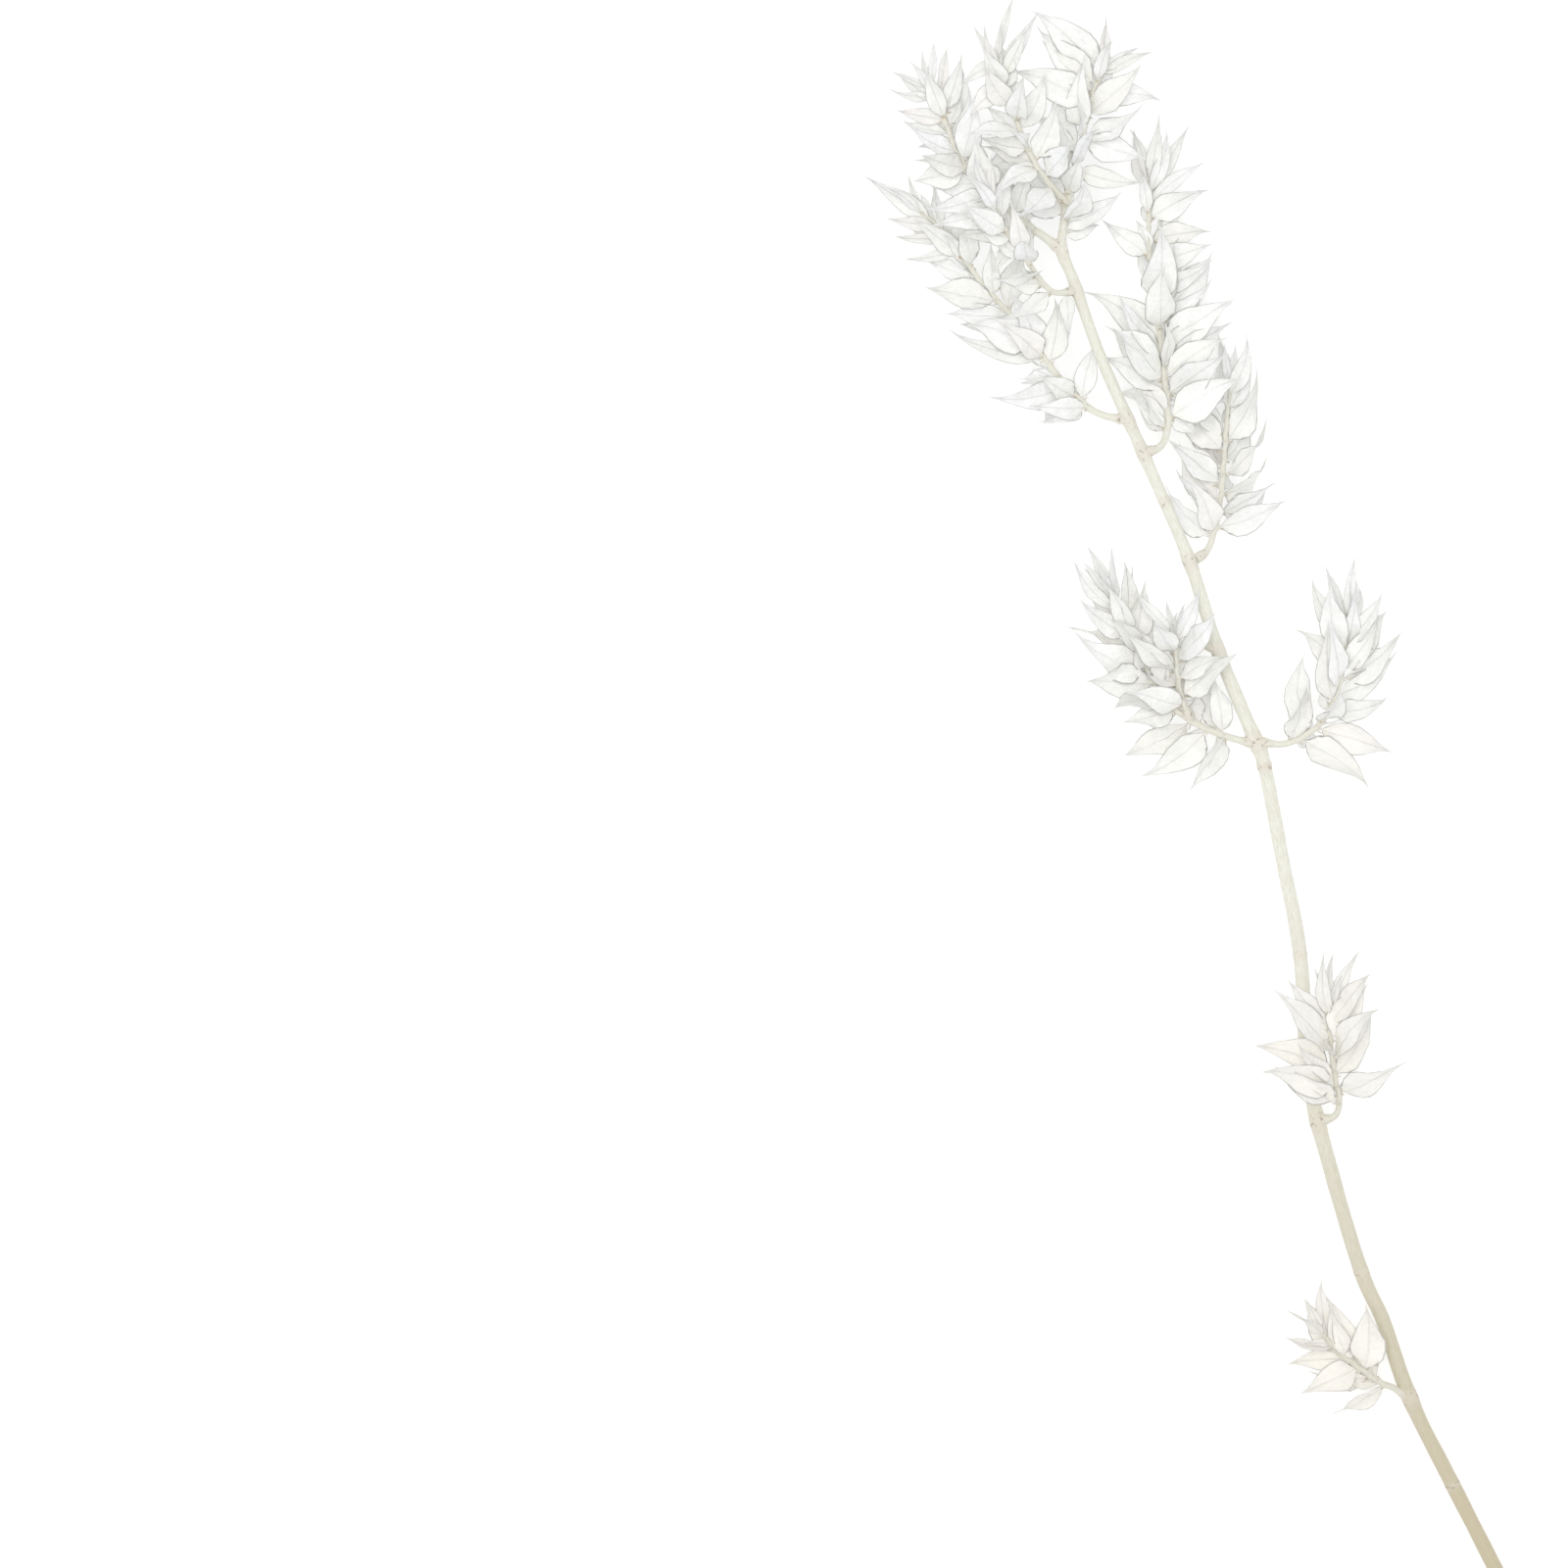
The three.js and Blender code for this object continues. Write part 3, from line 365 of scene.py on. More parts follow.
# a point of a blade, with s from 0 to 1 along it and u from -1 to 1 across it
def bladePoint(leaf, s, u):
    half = max(leafShape["stalk"], leaf["width"] / 2 * leafOutline(s)) if s < 1 else 0
    wide = half * (1 + leaf["skew"] * (u > 0) - leaf["skew"] * (u < 0))
    c, w = math.cos(leaf["twist"] * s), math.sin(leaf["twist"] * s)
    across = leaf["across"] * c + leaf["face"] * w
    face = leaf["face"] * c - leaf["across"] * w
    midrib = leaf["along"] * s + leaf["face"] * leaf["curl"] * s * s + leaf["across"] * leaf["sweep"] * s * s
    return leaf["root"] + leaf["length"] * midrib + across * wide * u + face * wide * leaf["cup"] * abs(u)


def setLeaf(root, along, roll, **sizes):
    face = (up - along * up.dot(along)).normalized()
    face = Quaternion(along, roll) @ face
    return {"root": root, "along": along, "face": face, "across": face.cross(along), **sizes}


def feelers(leaf):
    points = [bladePoint(leaf, s, u) for s in leafRule["feelers"] for u in (-1, 0, 1)]
    return np.array(points + [bladePoint(leaf, 1, 0)])


placed = []


def isClear(leaf, shoot, twigIndex, share=1.0):
    points = feelers(leaf)
    if points[:, 2].min() < leafRule["floorGap"]:
        return False
    if (np.linalg.norm(points[:, None, :2] - openPlaces[None, :, :2], axis=2) < openPlaces[:, 2]).any():
        return False
    others = np.array([owner != (shoot, twigIndex) for owner in woodOwners])
    gaps = np.linalg.norm(points[:, None] - woodPoints[None, others], axis=2)
    if (gaps < woodRadii[others] + leafRule["woodGap"] * share).any():
        return False
    for other in placed:
        if (other["root"] - leaf["root"]).length > leafRule["farApart"]:
            continue
        gap = share * leafRule["ownGap" if other["shoot"] == shoot else "otherGap"]
        if (np.linalg.norm(points[:, None] - other["points"][None], axis=2) < gap).any():
            return False
    return True


def keepLeaf(leaf, shoot, twig, s, index):
    if leaf is None:
        return
    placed.append({"shoot": shoot, "root": leaf["root"], "points": feelers(leaf)})
    leaf.update(at=s, twig=twig, index=index, seed=twig["seed"])
    shoots[shoot].setdefault("leaves", []).append(leaf)


# which way a leaf leaves its twig: lean is from the twig's line, and azimuth is round it
def wayOut(line, s, azimuth, lean):
    along, level, lift = frameAt(line, s)
    outward = level * math.cos(azimuth) + lift * math.sin(azimuth)
    return along * math.cos(lean) + outward * math.sin(lean)


def shareAlong(twig, s):
    return (s - twig["start"]) / (twig["line"]["total"] - twig["start"])


# 0 along most of a twig, rising to 1 at its end
def tipShare(t):
    return ease((t - leafRule["tipFrom"]) / leafRule["tipOver"])


# angles in radians, widths as shares of the length; pairs go from the foot of a twig to its end, and "vary"
# is how far each draw may take a value either way
mainLeaf = {
    "swings": [0, 0.45, -0.45, 0.9, -0.9, 1.4, -1.4, 0.2, 2.2, -2.2],     # tries round the twig
    "lean": (1.3, 0.58), "leanRise": 1.3, "width": (0.42, 0.21), "curl": -0.05, "cup": 0.22, "firstUse": 0,
    "size": 0.74, "grow": 0.26, "growOver": 0.25, "tipLoss": 0.2,         # up the twig, and near its end
    "tryLean": 0.03, "lateTry": 6, "lateSize": 0.8,                       # the last tries are smaller
    "vary": {"azimuth": 0.8, "lean": 0.2, "length": 0.14, "roll": 0.95, "width": 0.12, "curl": 0.13,
             "sweep": 0.07, "cup": 0.16, "twist": 0.5, "skew": 0.08},
}
smallLeaf = {
    "tries": 9, "turn": 2.4, "wholeTurn": 6.283, "otherSeed": 400,
    "size": 0.74, "tipLoss": 0.16, "tryLoss": 0.04,
    "lean": (1.15, 0.5), "leanRise": 1.4, "width": (0.36, 0.19), "curl": -0.05, "cup": 0.3, "firstUse": 50,
    "vary": {"lean": 0.22, "length": 0.24, "roll": 1.5, "width": 0.16, "curl": 0.2,
             "sweep": 0.1, "cup": 0.2, "twist": 0.9, "skew": 0.08},
}


# a leaf with its own bends, which curves towards the end of its twig
def bentLeaf(look, line, s, azimuth, lean, length, tip, seed, index, k):
    vary, use = look["vary"], look["firstUse"]
    leaf = setLeaf(
        pointAt(line, s), wayOut(line, s, azimuth, lean), vary["roll"] * spread(seed, index + k, use + 4),
        length=length,
        width=length * lerp(*look["width"], tip) * (1 + vary["width"] * spread(seed, index, use + 5)),
        curl=look["curl"] + vary["curl"] * spread(seed, index, use + 6),
        sweep=vary["sweep"] * spread(seed, index, use + 7),
        cup=look["cup"] + vary["cup"] * spread(seed, index, use + 8),
        twist=vary["twist"] * spread(seed, index, use + 9),
        skew=vary["skew"] * spread(seed, index, use + 10))
    along = frameAt(line, s)[0]
    leaf["curl"] += leafRule["forward"] * leaf["face"].dot(along)
    leaf["sweep"] += leafRule["forward"] * leaf["across"].dot(along)
    return leaf


def growLeaf(shoot, twigIndex, twig, s, index):
    look, vary, seed, t = mainLeaf, mainLeaf["vary"], twig["seed"], shareAlong(twig, s)
    tip, grown = tipShare(t), ease(t / look["growOver"])
    side = 0 if index % 2 == 0 else math.pi
    for k, swing in enumerate(look["swings"]):
        azimuth = side + vary["azimuth"] * spread(seed, index, 1) + swing
        lean = lerp(*look["lean"], t ** look["leanRise"]) + vary["lean"] * spread(seed, index, 2)
        lean -= look["tryLean"] * k
        size = 1 if k < look["lateTry"] else look["lateSize"]
        size *= look["size"] + look["grow"] * grown - look["tipLoss"] * tip
        size *= 1 + vary["length"] * spread(seed, index, 3)
        leaf = bentLeaf(look, twig["line"], s, azimuth, lean, twig["leaf"] * size, tip, seed, index, k)
        if isClear(leaf, shoot, twigIndex):
            return leaf
    return None


# smaller leaves between the main ones: they turn any way and may stand closer
def growSmallLeaf(shoot, twigIndex, twig, s, index):
    look, vary, t = smallLeaf, smallLeaf["vary"], shareAlong(twig, s)
    seed, tip = twig["seed"] + look["otherSeed"], tipShare(t)
    for k in range(look["tries"]):
        azimuth = look["wholeTurn"] * draw(seed, index, 51) + look["turn"] * k
        lean = lerp(*look["lean"], t ** look["leanRise"]) + vary["lean"] * spread(seed, index + k, 52)
        size = (look["size"] - look["tipLoss"] * tip) * (1 + vary["length"] * spread(seed, index, 53))
        size *= 1 - look["tryLoss"] * k
        leaf = bentLeaf(look, twig["line"], s, azimuth, lean, twig["leaf"] * size, tip, seed, index, k)
        if isClear(leaf, shoot, twigIndex, leafRule["smallGaps"]):
            return leaf
    return None


# these too are angles in radians and shares of the length or of the twig's "leaf"; "from" is in mm
endLeaf = {"tries": 6, "tryLoss": 0.1, "from": 0.6, "size": 0.86, "width": 0.22,
           "roll": 0.5, "curl": 0.08, "sweep": 0.08, "cup": 0.2, "twist": 0.3}
bunchLeaf = {"count": 2, "tries": 6, "from": 0.9, "pitch": 0.7, "turn": 1.6, "tryTurn": 0.6, "otherSeed": 700,
             "size": 0.5, "sizeMore": 0.2, "width": 0.2, "lean": 0.3, "leanMore": 0.2,
             "roll": 1.2, "curl": 0.12, "sweep": 0.12, "cup": 0.3, "twist": 0.8}


# the leaf that a twig ends in
def growEndLeaf(shoot, twigIndex, twig):
    look, seed, line = endLeaf, twig["seed"], twig["line"]
    if twig.get("end") == 0:
        return None
    root, along = pointAt(line, line["total"] - look["from"]), frameAt(line, line["total"])[0]
    for k in range(look["tries"]):
        length = twig.get("end", twig["leaf"] * look["size"]) * (1 - look["tryLoss"] * k)
        leaf = setLeaf(root, along, look["roll"] * spread(seed, k, 14),
                       length=length, width=length * look["width"], cup=look["cup"], twist=look["twist"],
                       curl=look["curl"] * spread(seed, 1, 15), sweep=look["sweep"] * spread(seed, k, 16),
                       skew=0)
        if isClear(leaf, shoot, twigIndex):
            return leaf
    return None


# the narrow leaves that close the end of a twig
def growBunchLeaf(shoot, twigIndex, twig, index):
    look, seed, line = bunchLeaf, twig["seed"] + bunchLeaf["otherSeed"], twig["line"]
    s = line["total"] - look["from"] - look["pitch"] * index
    for k in range(look["tries"]):
        azimuth = look["turn"] * index + look["tryTurn"] * k + draw(seed, index, 61)
        lean = look["lean"] + look["leanMore"] * draw(seed, index + k, 62)
        length = twig["leaf"] * (look["size"] + look["sizeMore"] * draw(seed, index, 63))
        roll = look["roll"] * spread(seed, index + k, 64)
        leaf = setLeaf(pointAt(line, s), wayOut(line, s, azimuth, lean), roll,
                       length=length, width=length * look["width"], cup=look["cup"],
                       curl=look["curl"] * spread(seed, index, 65),
                       sweep=look["sweep"] * spread(seed, index, 66),
                       twist=look["twist"] * spread(seed, index, 67), skew=0)
        if isClear(leaf, shoot, twigIndex, leafRule["bunchGaps"]):
            return leaf
    return None


handLeaf = {
    "feet": {"arch": -0.32, "roll": 0, "cup": 0.2, "cupVary": 0, "twist": 0},
    "shown": {"arch": -0.14, "roll": 0.3, "cup": 0.2, "cupVary": 0.12, "twist": 0.3},
    "tucked": {"arch": -0.1, "roll": 0.4, "cup": 0.3, "cupVary": 0, "twist": 0.4},
}


# leaves laid one by one, each arched from its twig to the point of its tip
def layLeaves(name, kind):
    look = handLeaf[kind]
    arch = look["arch"]
    for index, (i, at, tip, width) in enumerate(shoots[name].get(kind, []), firstIndex[kind]):
        twig = shoots[name]["twigs"][i]
        seed, s = twig["seed"], lerp(twig["start"], twig["line"]["total"], at)
        root = pointAt(twig["line"], s)
        reach = Vector(tip) - root
        chord = reach.normalized()
        over = (up - chord * up.dot(chord)).normalized()
        way = chord * math.cos(arch) - over * math.sin(arch)
        leaf = setLeaf(root, way, look["roll"] * spread(seed, index, 4),
                       length=reach.length * math.cos(arch), width=width, curl=math.tan(arch), sweep=0,
                       cup=look["cup"] + look["cupVary"] * spread(seed, index, 8),
                       twist=look["twist"] * spread(seed, index, 9), skew=0)
        keepLeaf(leaf, name, twig, s, index)


for name in shoots:
    layLeaves(name, "feet")
    layLeaves(name, "shown")
for name, shoot in shoots.items():
    for i, twig in enumerate(shoot["twigs"]):
        total = twig["line"]["total"]
        s, index = twig["start"] + twig["bare"], 0
        least, more = leafRule["pitchDraw"]
        while s < total - leafRule["lastMain"]:
            keepLeaf(growLeaf(name, i, twig, s, index), name, twig, s, index)
            crowd = 1 - leafRule["crowd"] * tipShare(shareAlong(twig, s))
            pitch = twig.get("pitch", leafRule["pitch"]) * crowd
            s += pitch * (least + more * draw(twig["seed"], index, 11))
            index += 1
        keepLeaf(growEndLeaf(name, i, twig), name, twig, total - endLeaf["from"], firstIndex["end"])
mainCount = len(placed)
for name in shoots:
    layLeaves(name, "tucked")
for name, shoot in shoots.items():
    for i, twig in enumerate(shoot["twigs"]):
        total = twig["line"]["total"]
        for index in range(bunchLeaf["count"]):
            keepLeaf(growBunchLeaf(name, i, twig, index), name, twig, total, firstIndex["bunch"] + index)
        s, index = twig["start"] + twig["bare"] + leafRule["firstSmall"], 0
        least, more = leafRule["smallDraw"]
        while s < total - leafRule["lastSmall"]:
            keepLeaf(growSmallLeaf(name, i, twig, s, index), name, twig, s, firstIndex["small"] + index)
            s += leafRule["smallPitch"] * (least + more * draw(twig["seed"], index, 68))
            index += 1
print("leaves grown:", mainCount, "and", len(placed) - mainCount, "small ones")


# main leaves, grown or laid, have a scale and a knuckle at their foot
def hasScale(leaf):
    return leaf["index"] < firstIndex["end"] or firstIndex["shown"] <= leaf["index"] < firstIndex["bunch"]


# Materials.

def newMaterial(name):
    material = bpy.data.materials.new(name)
    material.use_nodes = True
    material.node_tree.nodes.clear()
    return material, material.node_tree


leafTones = {0.0: "F6F7F8", 0.3: "F9F9F7", 0.6: "F6F7F3", 0.85: "F3F2EB", 1.0: "F7F2EF"}     # leaf to leaf
# what lies over that: its colour, and how much of it shows where it shows most
leafLayers = {
    # the grey clouds and flecks are partly random tone and partly painted shade of the folds and crepe
    "stalk": ("EFEBDB", 0.7), "cloud": ("E8E8E4", 0.8), "fleck": ("E6E6E2", 0.6), "vein": ("D9D4C5", 0.13),
    # the rim is a dark grey line painted along each edge: painted shade where the edges curve away
    "low": ("EFE7D8", 0.55), "rim": ("97958F", 0.95),
}
leafGrain = {
    "veinPhase": 81.7,          # 13 veins a leaf, so 0.8 mm apart where it is 11 mm wide
    # cells of noise to a metre: 300 is a crumple with folds 3.3 mm apart, and 620 grey flecks 1.6 mm across,
    # partly painted shade of the crepe
    "waver": 160, "crepe": 300, "cloud": 140, "fleck": 620,
    "waverBy": 0.035, "veinHeight": 0.22, "midribHalf": 0.045, "crepeHeight": 2.4, "deep": 0.0005,
}


# Dried ruscus leaf, bleached with peroxide: it has no green left and is as thin as tissue, but lets little
# light through. It looks a soft matt white with a fine crepe, parallel veins and a creamy stalk. Its grey
# clouds and flecks are partly painted shade of folds and crepe, and a dark line along each edge is painted
# edge shade.
def bleachedLeaf():
    material, tree = newMaterial("bleachedLeaf")
    across, along = addNode(tree, "ShaderNodeSeparateXYZ", {
        0: addNode(tree, "ShaderNodeUVMap", uv_map="UVMap")}).outputs[:2]
    tint = addNode(tree, "ShaderNodeAttribute", attribute_name="leafTint").outputs["Fac"]
    place = addNode(tree, "ShaderNodeTexCoord").outputs["Object"]
    most = {layer: share for layer, (colour, share) in leafLayers.items()}

    # relief: veins that run a little uneven, the midrib, and the crepe of dried tissue
    waver = addNode(tree, "ShaderNodeTexNoise", {"Vector": place, "Scale": leafGrain["waver"], "Detail": 2})
    wavered = addNode(tree, "ShaderNodeMath", {0: waver, 1: leafGrain["waverBy"], 2: across},
                      operation="MULTIPLY_ADD")
    veinPhase = addNode(tree, "ShaderNodeMath", {0: wavered, 1: leafGrain["veinPhase"]},
                        operation="MULTIPLY")
    veinWave = addNode(tree, "ShaderNodeMath", {0: veinPhase}, operation="COSINE")
    vein = addNode(tree, "ShaderNodeMapRange", {0: veinWave, 1: 0.35, 2: 1.0, 3: 0.0, 4: 1.0})
    fromMid = addNode(tree, "ShaderNodeMath", {0: across, 1: 0.5}, operation="SUBTRACT")
    midSide = addNode(tree, "ShaderNodeMath", {0: fromMid}, operation="ABSOLUTE")
    midrib = addNode(tree, "ShaderNodeMapRange", {
        0: midSide, 1: 0.0, 2: leafGrain["midribHalf"], 3: 0.8, 4: 0.0}, interpolation_type="SMOOTHSTEP")
    ribs = addNode(tree, "ShaderNodeMath", {0: vein, 1: leafGrain["veinHeight"], 2: midrib},
                   operation="MULTIPLY_ADD")
    crepe = addNode(tree, "ShaderNodeTexNoise", {
        "Vector": place, "Scale": leafGrain["crepe"], "Detail": 4, "Roughness": 0.58})
    relief = addNode(tree, "ShaderNodeMath", {0: crepe, 1: leafGrain["crepeHeight"], 2: ribs},
                     operation="MULTIPLY_ADD")
    bump = addNode(tree, "ShaderNodeBump", {
        "Strength": 0.8, "Distance": leafGrain["deep"], "Height": relief})

    # colour
    leafTone = addNode(tree, "ShaderNodeValToRGB", {0: tint})
    setTones(leafTone, leafTones)
    stalk = addNode(tree, "ShaderNodeMapRange", {0: along, 1: 0.0, 2: 0.3, 3: most["stalk"], 4: 0.0})
    # grey clouds and flecks: partly random tone, partly painted shade of the folds and crepe
    cloudShades = addNode(tree, "ShaderNodeTexNoise", {"Vector": place, "Scale": leafGrain["cloud"], "Detail": 4})
    cloud = addNode(tree, "ShaderNodeMapRange", {0: cloudShades, 1: 0.44, 2: 0.7, 3: 0.0, 4: most["cloud"]})
    fleckShades = addNode(tree, "ShaderNodeTexNoise", {"Vector": place, "Scale": leafGrain["fleck"], "Detail": 3})
    fleck = addNode(tree, "ShaderNodeMapRange", {0: fleckShades, 1: 0.45, 2: 0.7, 3: 0.0, 4: most["fleck"]})
    veined = addNode(tree, "ShaderNodeMath", {0: ribs, 1: most["vein"]}, operation="MULTIPLY")
    upStem = addNode(tree, "ShaderNodeSeparateXYZ", {0: place}).outputs[1]
    low = addNode(tree, "ShaderNodeMapRange",            # leaves low on the stem are older, so creamier
                  {0: upStem, 1: 0.13, 2: -0.2, 3: 0.0, 4: most["low"]})
    # a dark grey line painted along each edge: painted edge shade, not a colour of the leaf
    rim = addNode(tree, "ShaderNodeMapRange", {0: midSide, 1: 0.44, 2: 0.492, 3: 0.0, 4: most["rim"]},
                  interpolation_type="SMOOTHSTEP")
    colour = leafTone
    for layer, share in (("stalk", stalk), ("cloud", cloud), ("fleck", fleck), ("vein", veined),
                         ("low", low), ("rim", rim)):
        colour = addNode(tree, "ShaderNodeMix", {0: share, 6: colour, 7: linear(leafLayers[layer][0])},
                         data_type="RGBA").outputs[2]
    skin = addNode(tree, "ShaderNodeBsdfPrincipled", {
        "Base Color": colour, "Roughness": 0.55, "IOR": 1.45, "Specular IOR Level": 0.35,
        "Sheen Weight": 0.1, "Sheen Roughness": 0.5, "Normal": bump})
    addNode(tree, "ShaderNodeOutputMaterial", {0: skin})
    return material


woodTones = {0.3: "C8C8B5", 0.5: "DCDBCC", 0.68: "E6E6DA"}                                # from rib to rib
pithTones = {0.0: "D9D0B6", 0.3: "CCBD99", 0.5: "B39C74", 0.8: "CDBF9D", 1.0: "BBA987"}   # rings of the cut
# the straw colour is laid on darker down the axis, partly as painted shade
woodLayers = {"patch": ("D4D0C1", 0.45), "straw": ("A5946C", 0.85), "joint": ("CABEAD", 1.0),
              "slit": ("7D6F5A", 1.5)}
woodGrain = {
    # cells of noise to the wood's radius, drawn out along it: on the axis, ribs 0.5 mm wide and 3 mm long
    "ribs": 5.5, "drawnOut": (1.0, 1.0, 0.06),
    # cells to a metre: 700 is 1.4 mm, 55 is 18 mm, and 520 gives slits 1 mm or so long
    "fleck": 700, "patch": 55, "slit": 520,
    "fleckHeight": 0.35, "deep": 0.0004,
}


# Ruscus wood, peeled of its green by the same bleach: smooth, faintly ribbed along the stem, ivory in the
# crown and darker straw towards the cut, partly its own colour and partly painted shade, with pinker
# joints, short dark slits where buds dried, and a darker pith.
def bleachedWood():
    material, tree = newMaterial("bleachedWood")
    flow = addNode(tree, "ShaderNodeAttribute", attribute_name="grainFlow").outputs["Vector"]
    joint, straw, cut = [addNode(tree, "ShaderNodeAttribute", attribute_name=name).outputs["Fac"]
                         for name in ("jointTint", "strawTint", "cutFace")]
    place = addNode(tree, "ShaderNodeTexCoord").outputs["Object"]
    most = {layer: share for layer, (colour, share) in woodLayers.items()}

    # relief
    stretched = addNode(tree, "ShaderNodeMapping", {"Vector": flow, "Scale": woodGrain["drawnOut"]})
    ribs = addNode(tree, "ShaderNodeTexNoise", {
        "Vector": stretched, "Scale": woodGrain["ribs"], "Detail": 3, "Roughness": 0.6})
    fleck = addNode(tree, "ShaderNodeTexNoise", {"Vector": place, "Scale": woodGrain["fleck"], "Detail": 3})
    relief = addNode(tree, "ShaderNodeMath", {0: fleck, 1: woodGrain["fleckHeight"], 2: ribs},
                     operation="MULTIPLY_ADD")
    bump = addNode(tree, "ShaderNodeBump", {
        "Strength": 0.7, "Distance": woodGrain["deep"], "Height": relief})

    # colour
    grain = addNode(tree, "ShaderNodeValToRGB", {0: ribs})
    setTones(grain, woodTones)
    patches = addNode(tree, "ShaderNodeTexNoise", {
        "Vector": place, "Scale": woodGrain["patch"], "Detail": 3})
    patch = addNode(tree, "ShaderNodeMapRange", {0: patches, 1: 0.48, 2: 0.7, 3: 0.0, 4: most["patch"]})
    # the straw tint: the wood's own straw colour, and on the lower axis partly painted shade
    aged = addNode(tree, "ShaderNodeMath", {0: straw, 1: most["straw"]}, operation="MULTIPLY")
    slits = addNode(tree, "ShaderNodeTexNoise", {"Vector": place, "Scale": woodGrain["slit"], "Detail": 1})
    slitHere = addNode(tree, "ShaderNodeMapRange", {0: slits, 1: 0.6, 2: 0.68, 3: 0.0, 4: most["slit"]})
    slit = addNode(tree, "ShaderNodeMath", {0: slitHere, 1: joint}, operation="MULTIPLY", use_clamp=True)
    colour = grain
    for layer, share in (("patch", patch), ("straw", aged), ("joint", joint), ("slit", slit)):
        colour = addNode(tree, "ShaderNodeMix", {0: share, 6: colour, 7: linear(woodLayers[layer][0])},
                         data_type="RGBA").outputs[2]
    core = addNode(tree, "ShaderNodeVectorMath", {0: flow, 1: (1, 1, 0)}, operation="MULTIPLY")
    fromCore = addNode(tree, "ShaderNodeVectorMath", {0: core}, operation="LENGTH").outputs["Value"]
    pith = addNode(tree, "ShaderNodeValToRGB", {0: fromCore})
    setTones(pith, pithTones)
    colour = addNode(tree, "ShaderNodeMix", {0: cut, 6: colour, 7: pith}, data_type="RGBA").outputs[2]
    sheen = addNode(tree, "ShaderNodeMapRange", {0: ribs, 1: 0.3, 2: 0.7, 3: 0.62, 4: 0.44})
    skin = addNode(tree, "ShaderNodeBsdfPrincipled", {
        "Base Color": colour, "Roughness": sheen, "IOR": 1.5, "Specular IOR Level": 0.38, "Normal": bump})
    addNode(tree, "ShaderNodeOutputMaterial", {0: skin})
    return material


scaleTones = {0.25: "E1DACA", 1.0: "B09E7E"}            # browner towards the tip
scaleGrain = {"dry": 900, "dryBy": 0.6}                 # cells of noise to a metre, so 1.1 mm


# Bud scale: a dry membrane at the foot of each leaf, thin as onion skin. It gives each joint a tan fleck.
def paperyScale():
    material, tree = newMaterial("paperyScale")
    along = addNode(tree, "ShaderNodeSeparateXYZ", {
        0: addNode(tree, "ShaderNodeUVMap", uv_map="UVMap")}).outputs[1]
    place = addNode(tree, "ShaderNodeTexCoord").outputs["Object"]
    dry = addNode(tree, "ShaderNodeTexNoise", {"Vector": place, "Scale": scaleGrain["dry"], "Detail": 2})
    share = addNode(tree, "ShaderNodeMath", {0: dry, 1: scaleGrain["dryBy"], 2: along},
                    operation="MULTIPLY_ADD")
    tone = addNode(tree, "ShaderNodeValToRGB", {0: share})
    setTones(tone, scaleTones)
    skin = addNode(tree, "ShaderNodeBsdfPrincipled", {"Base Color": tone, "Roughness": 0.5, "IOR": 1.45})
    addNode(tree, "ShaderNodeOutputMaterial", {0: skin})
    return material


leafMaterial, woodMaterial, scaleMaterial = bleachedLeaf(), bleachedWood(), paperyScale()
print("materials made")


# Trees of nodes.

def newTree(name, sizes):
    tree = bpy.data.node_groups.new(name, "GeometryNodeTree")
    tree.interface.new_socket("Geometry", in_out="INPUT", socket_type="NodeSocketGeometry")
    tree.interface.new_socket("Geometry", in_out="OUTPUT", socket_type="NodeSocketGeometry")
    for label, kind in sizes.items():
        tree.interface.new_socket(label, in_out="INPUT", socket_type=kind)
    return tree, addNode(tree, "NodeGroupInput").outputs


# drops the fields that no material reads, and hands on real geometry with its material
def endTree(tree, geometry, fields, material):
    for name in fields:
        geometry = addNode(tree, "GeometryNodeRemoveAttribute", {"Geometry": geometry, "Name": name})
    whole = addNode(tree, "GeometryNodeRealizeInstances", {0: geometry})
    dressed = addNode(tree, "GeometryNodeSetMaterial", {"Geometry": whole, "Material": material})
    addNode(tree, "NodeGroupOutput", {0: dressed})
    return tree


# what each blade is told, and what the three numbers of a field stand for
bladeFields = ("bladeRoot", "bladeRun", "bladeFace", "bladeSize", "bladeBend", "bladeFold", "bladeTip")
bladeNumbers = {
    "bladeGrid": ("s", "u", "h"),            # along, across and above the midrib
    "bladeSize": ("length", "width", "tipCurl"), "bladeBend": ("curl", "sweep", "twist"),
    "bladeFold": ("cup", "skew", "phase"), "bladeTip": ("tipSway", "tipTwist", "patch"),
}
bladeForm = {
    "sides": 8, "footCrowd": 1.25,           # rings stand closer near the stalk
    "outlineAt": (0.08, 0.11, 0.15, 0.2, 0.27, 0.34, 0.42, 0.52, 0.62, 0.72, 0.82, 0.91, 0.96),
    "edgeScale": 5.0, "dentScale": (3.6, 0.8),           # cells of noise along a blade, and across for dents
    "foldRise": 1.35,
    "rippleRun": 8.5, "rippleSide": 1.7,     # radians of ripple along a blade, and from one side to the other
    "stalkFrom": 0.03, "stalkTo": 0.2, "fineFrom": 0.7, "crispFrom": 0.12,          # shares of the length
    "edgeFrom": 0.99, "merge": 0.00002,      # where the crisp edge lies across, and what joins at the tip
}


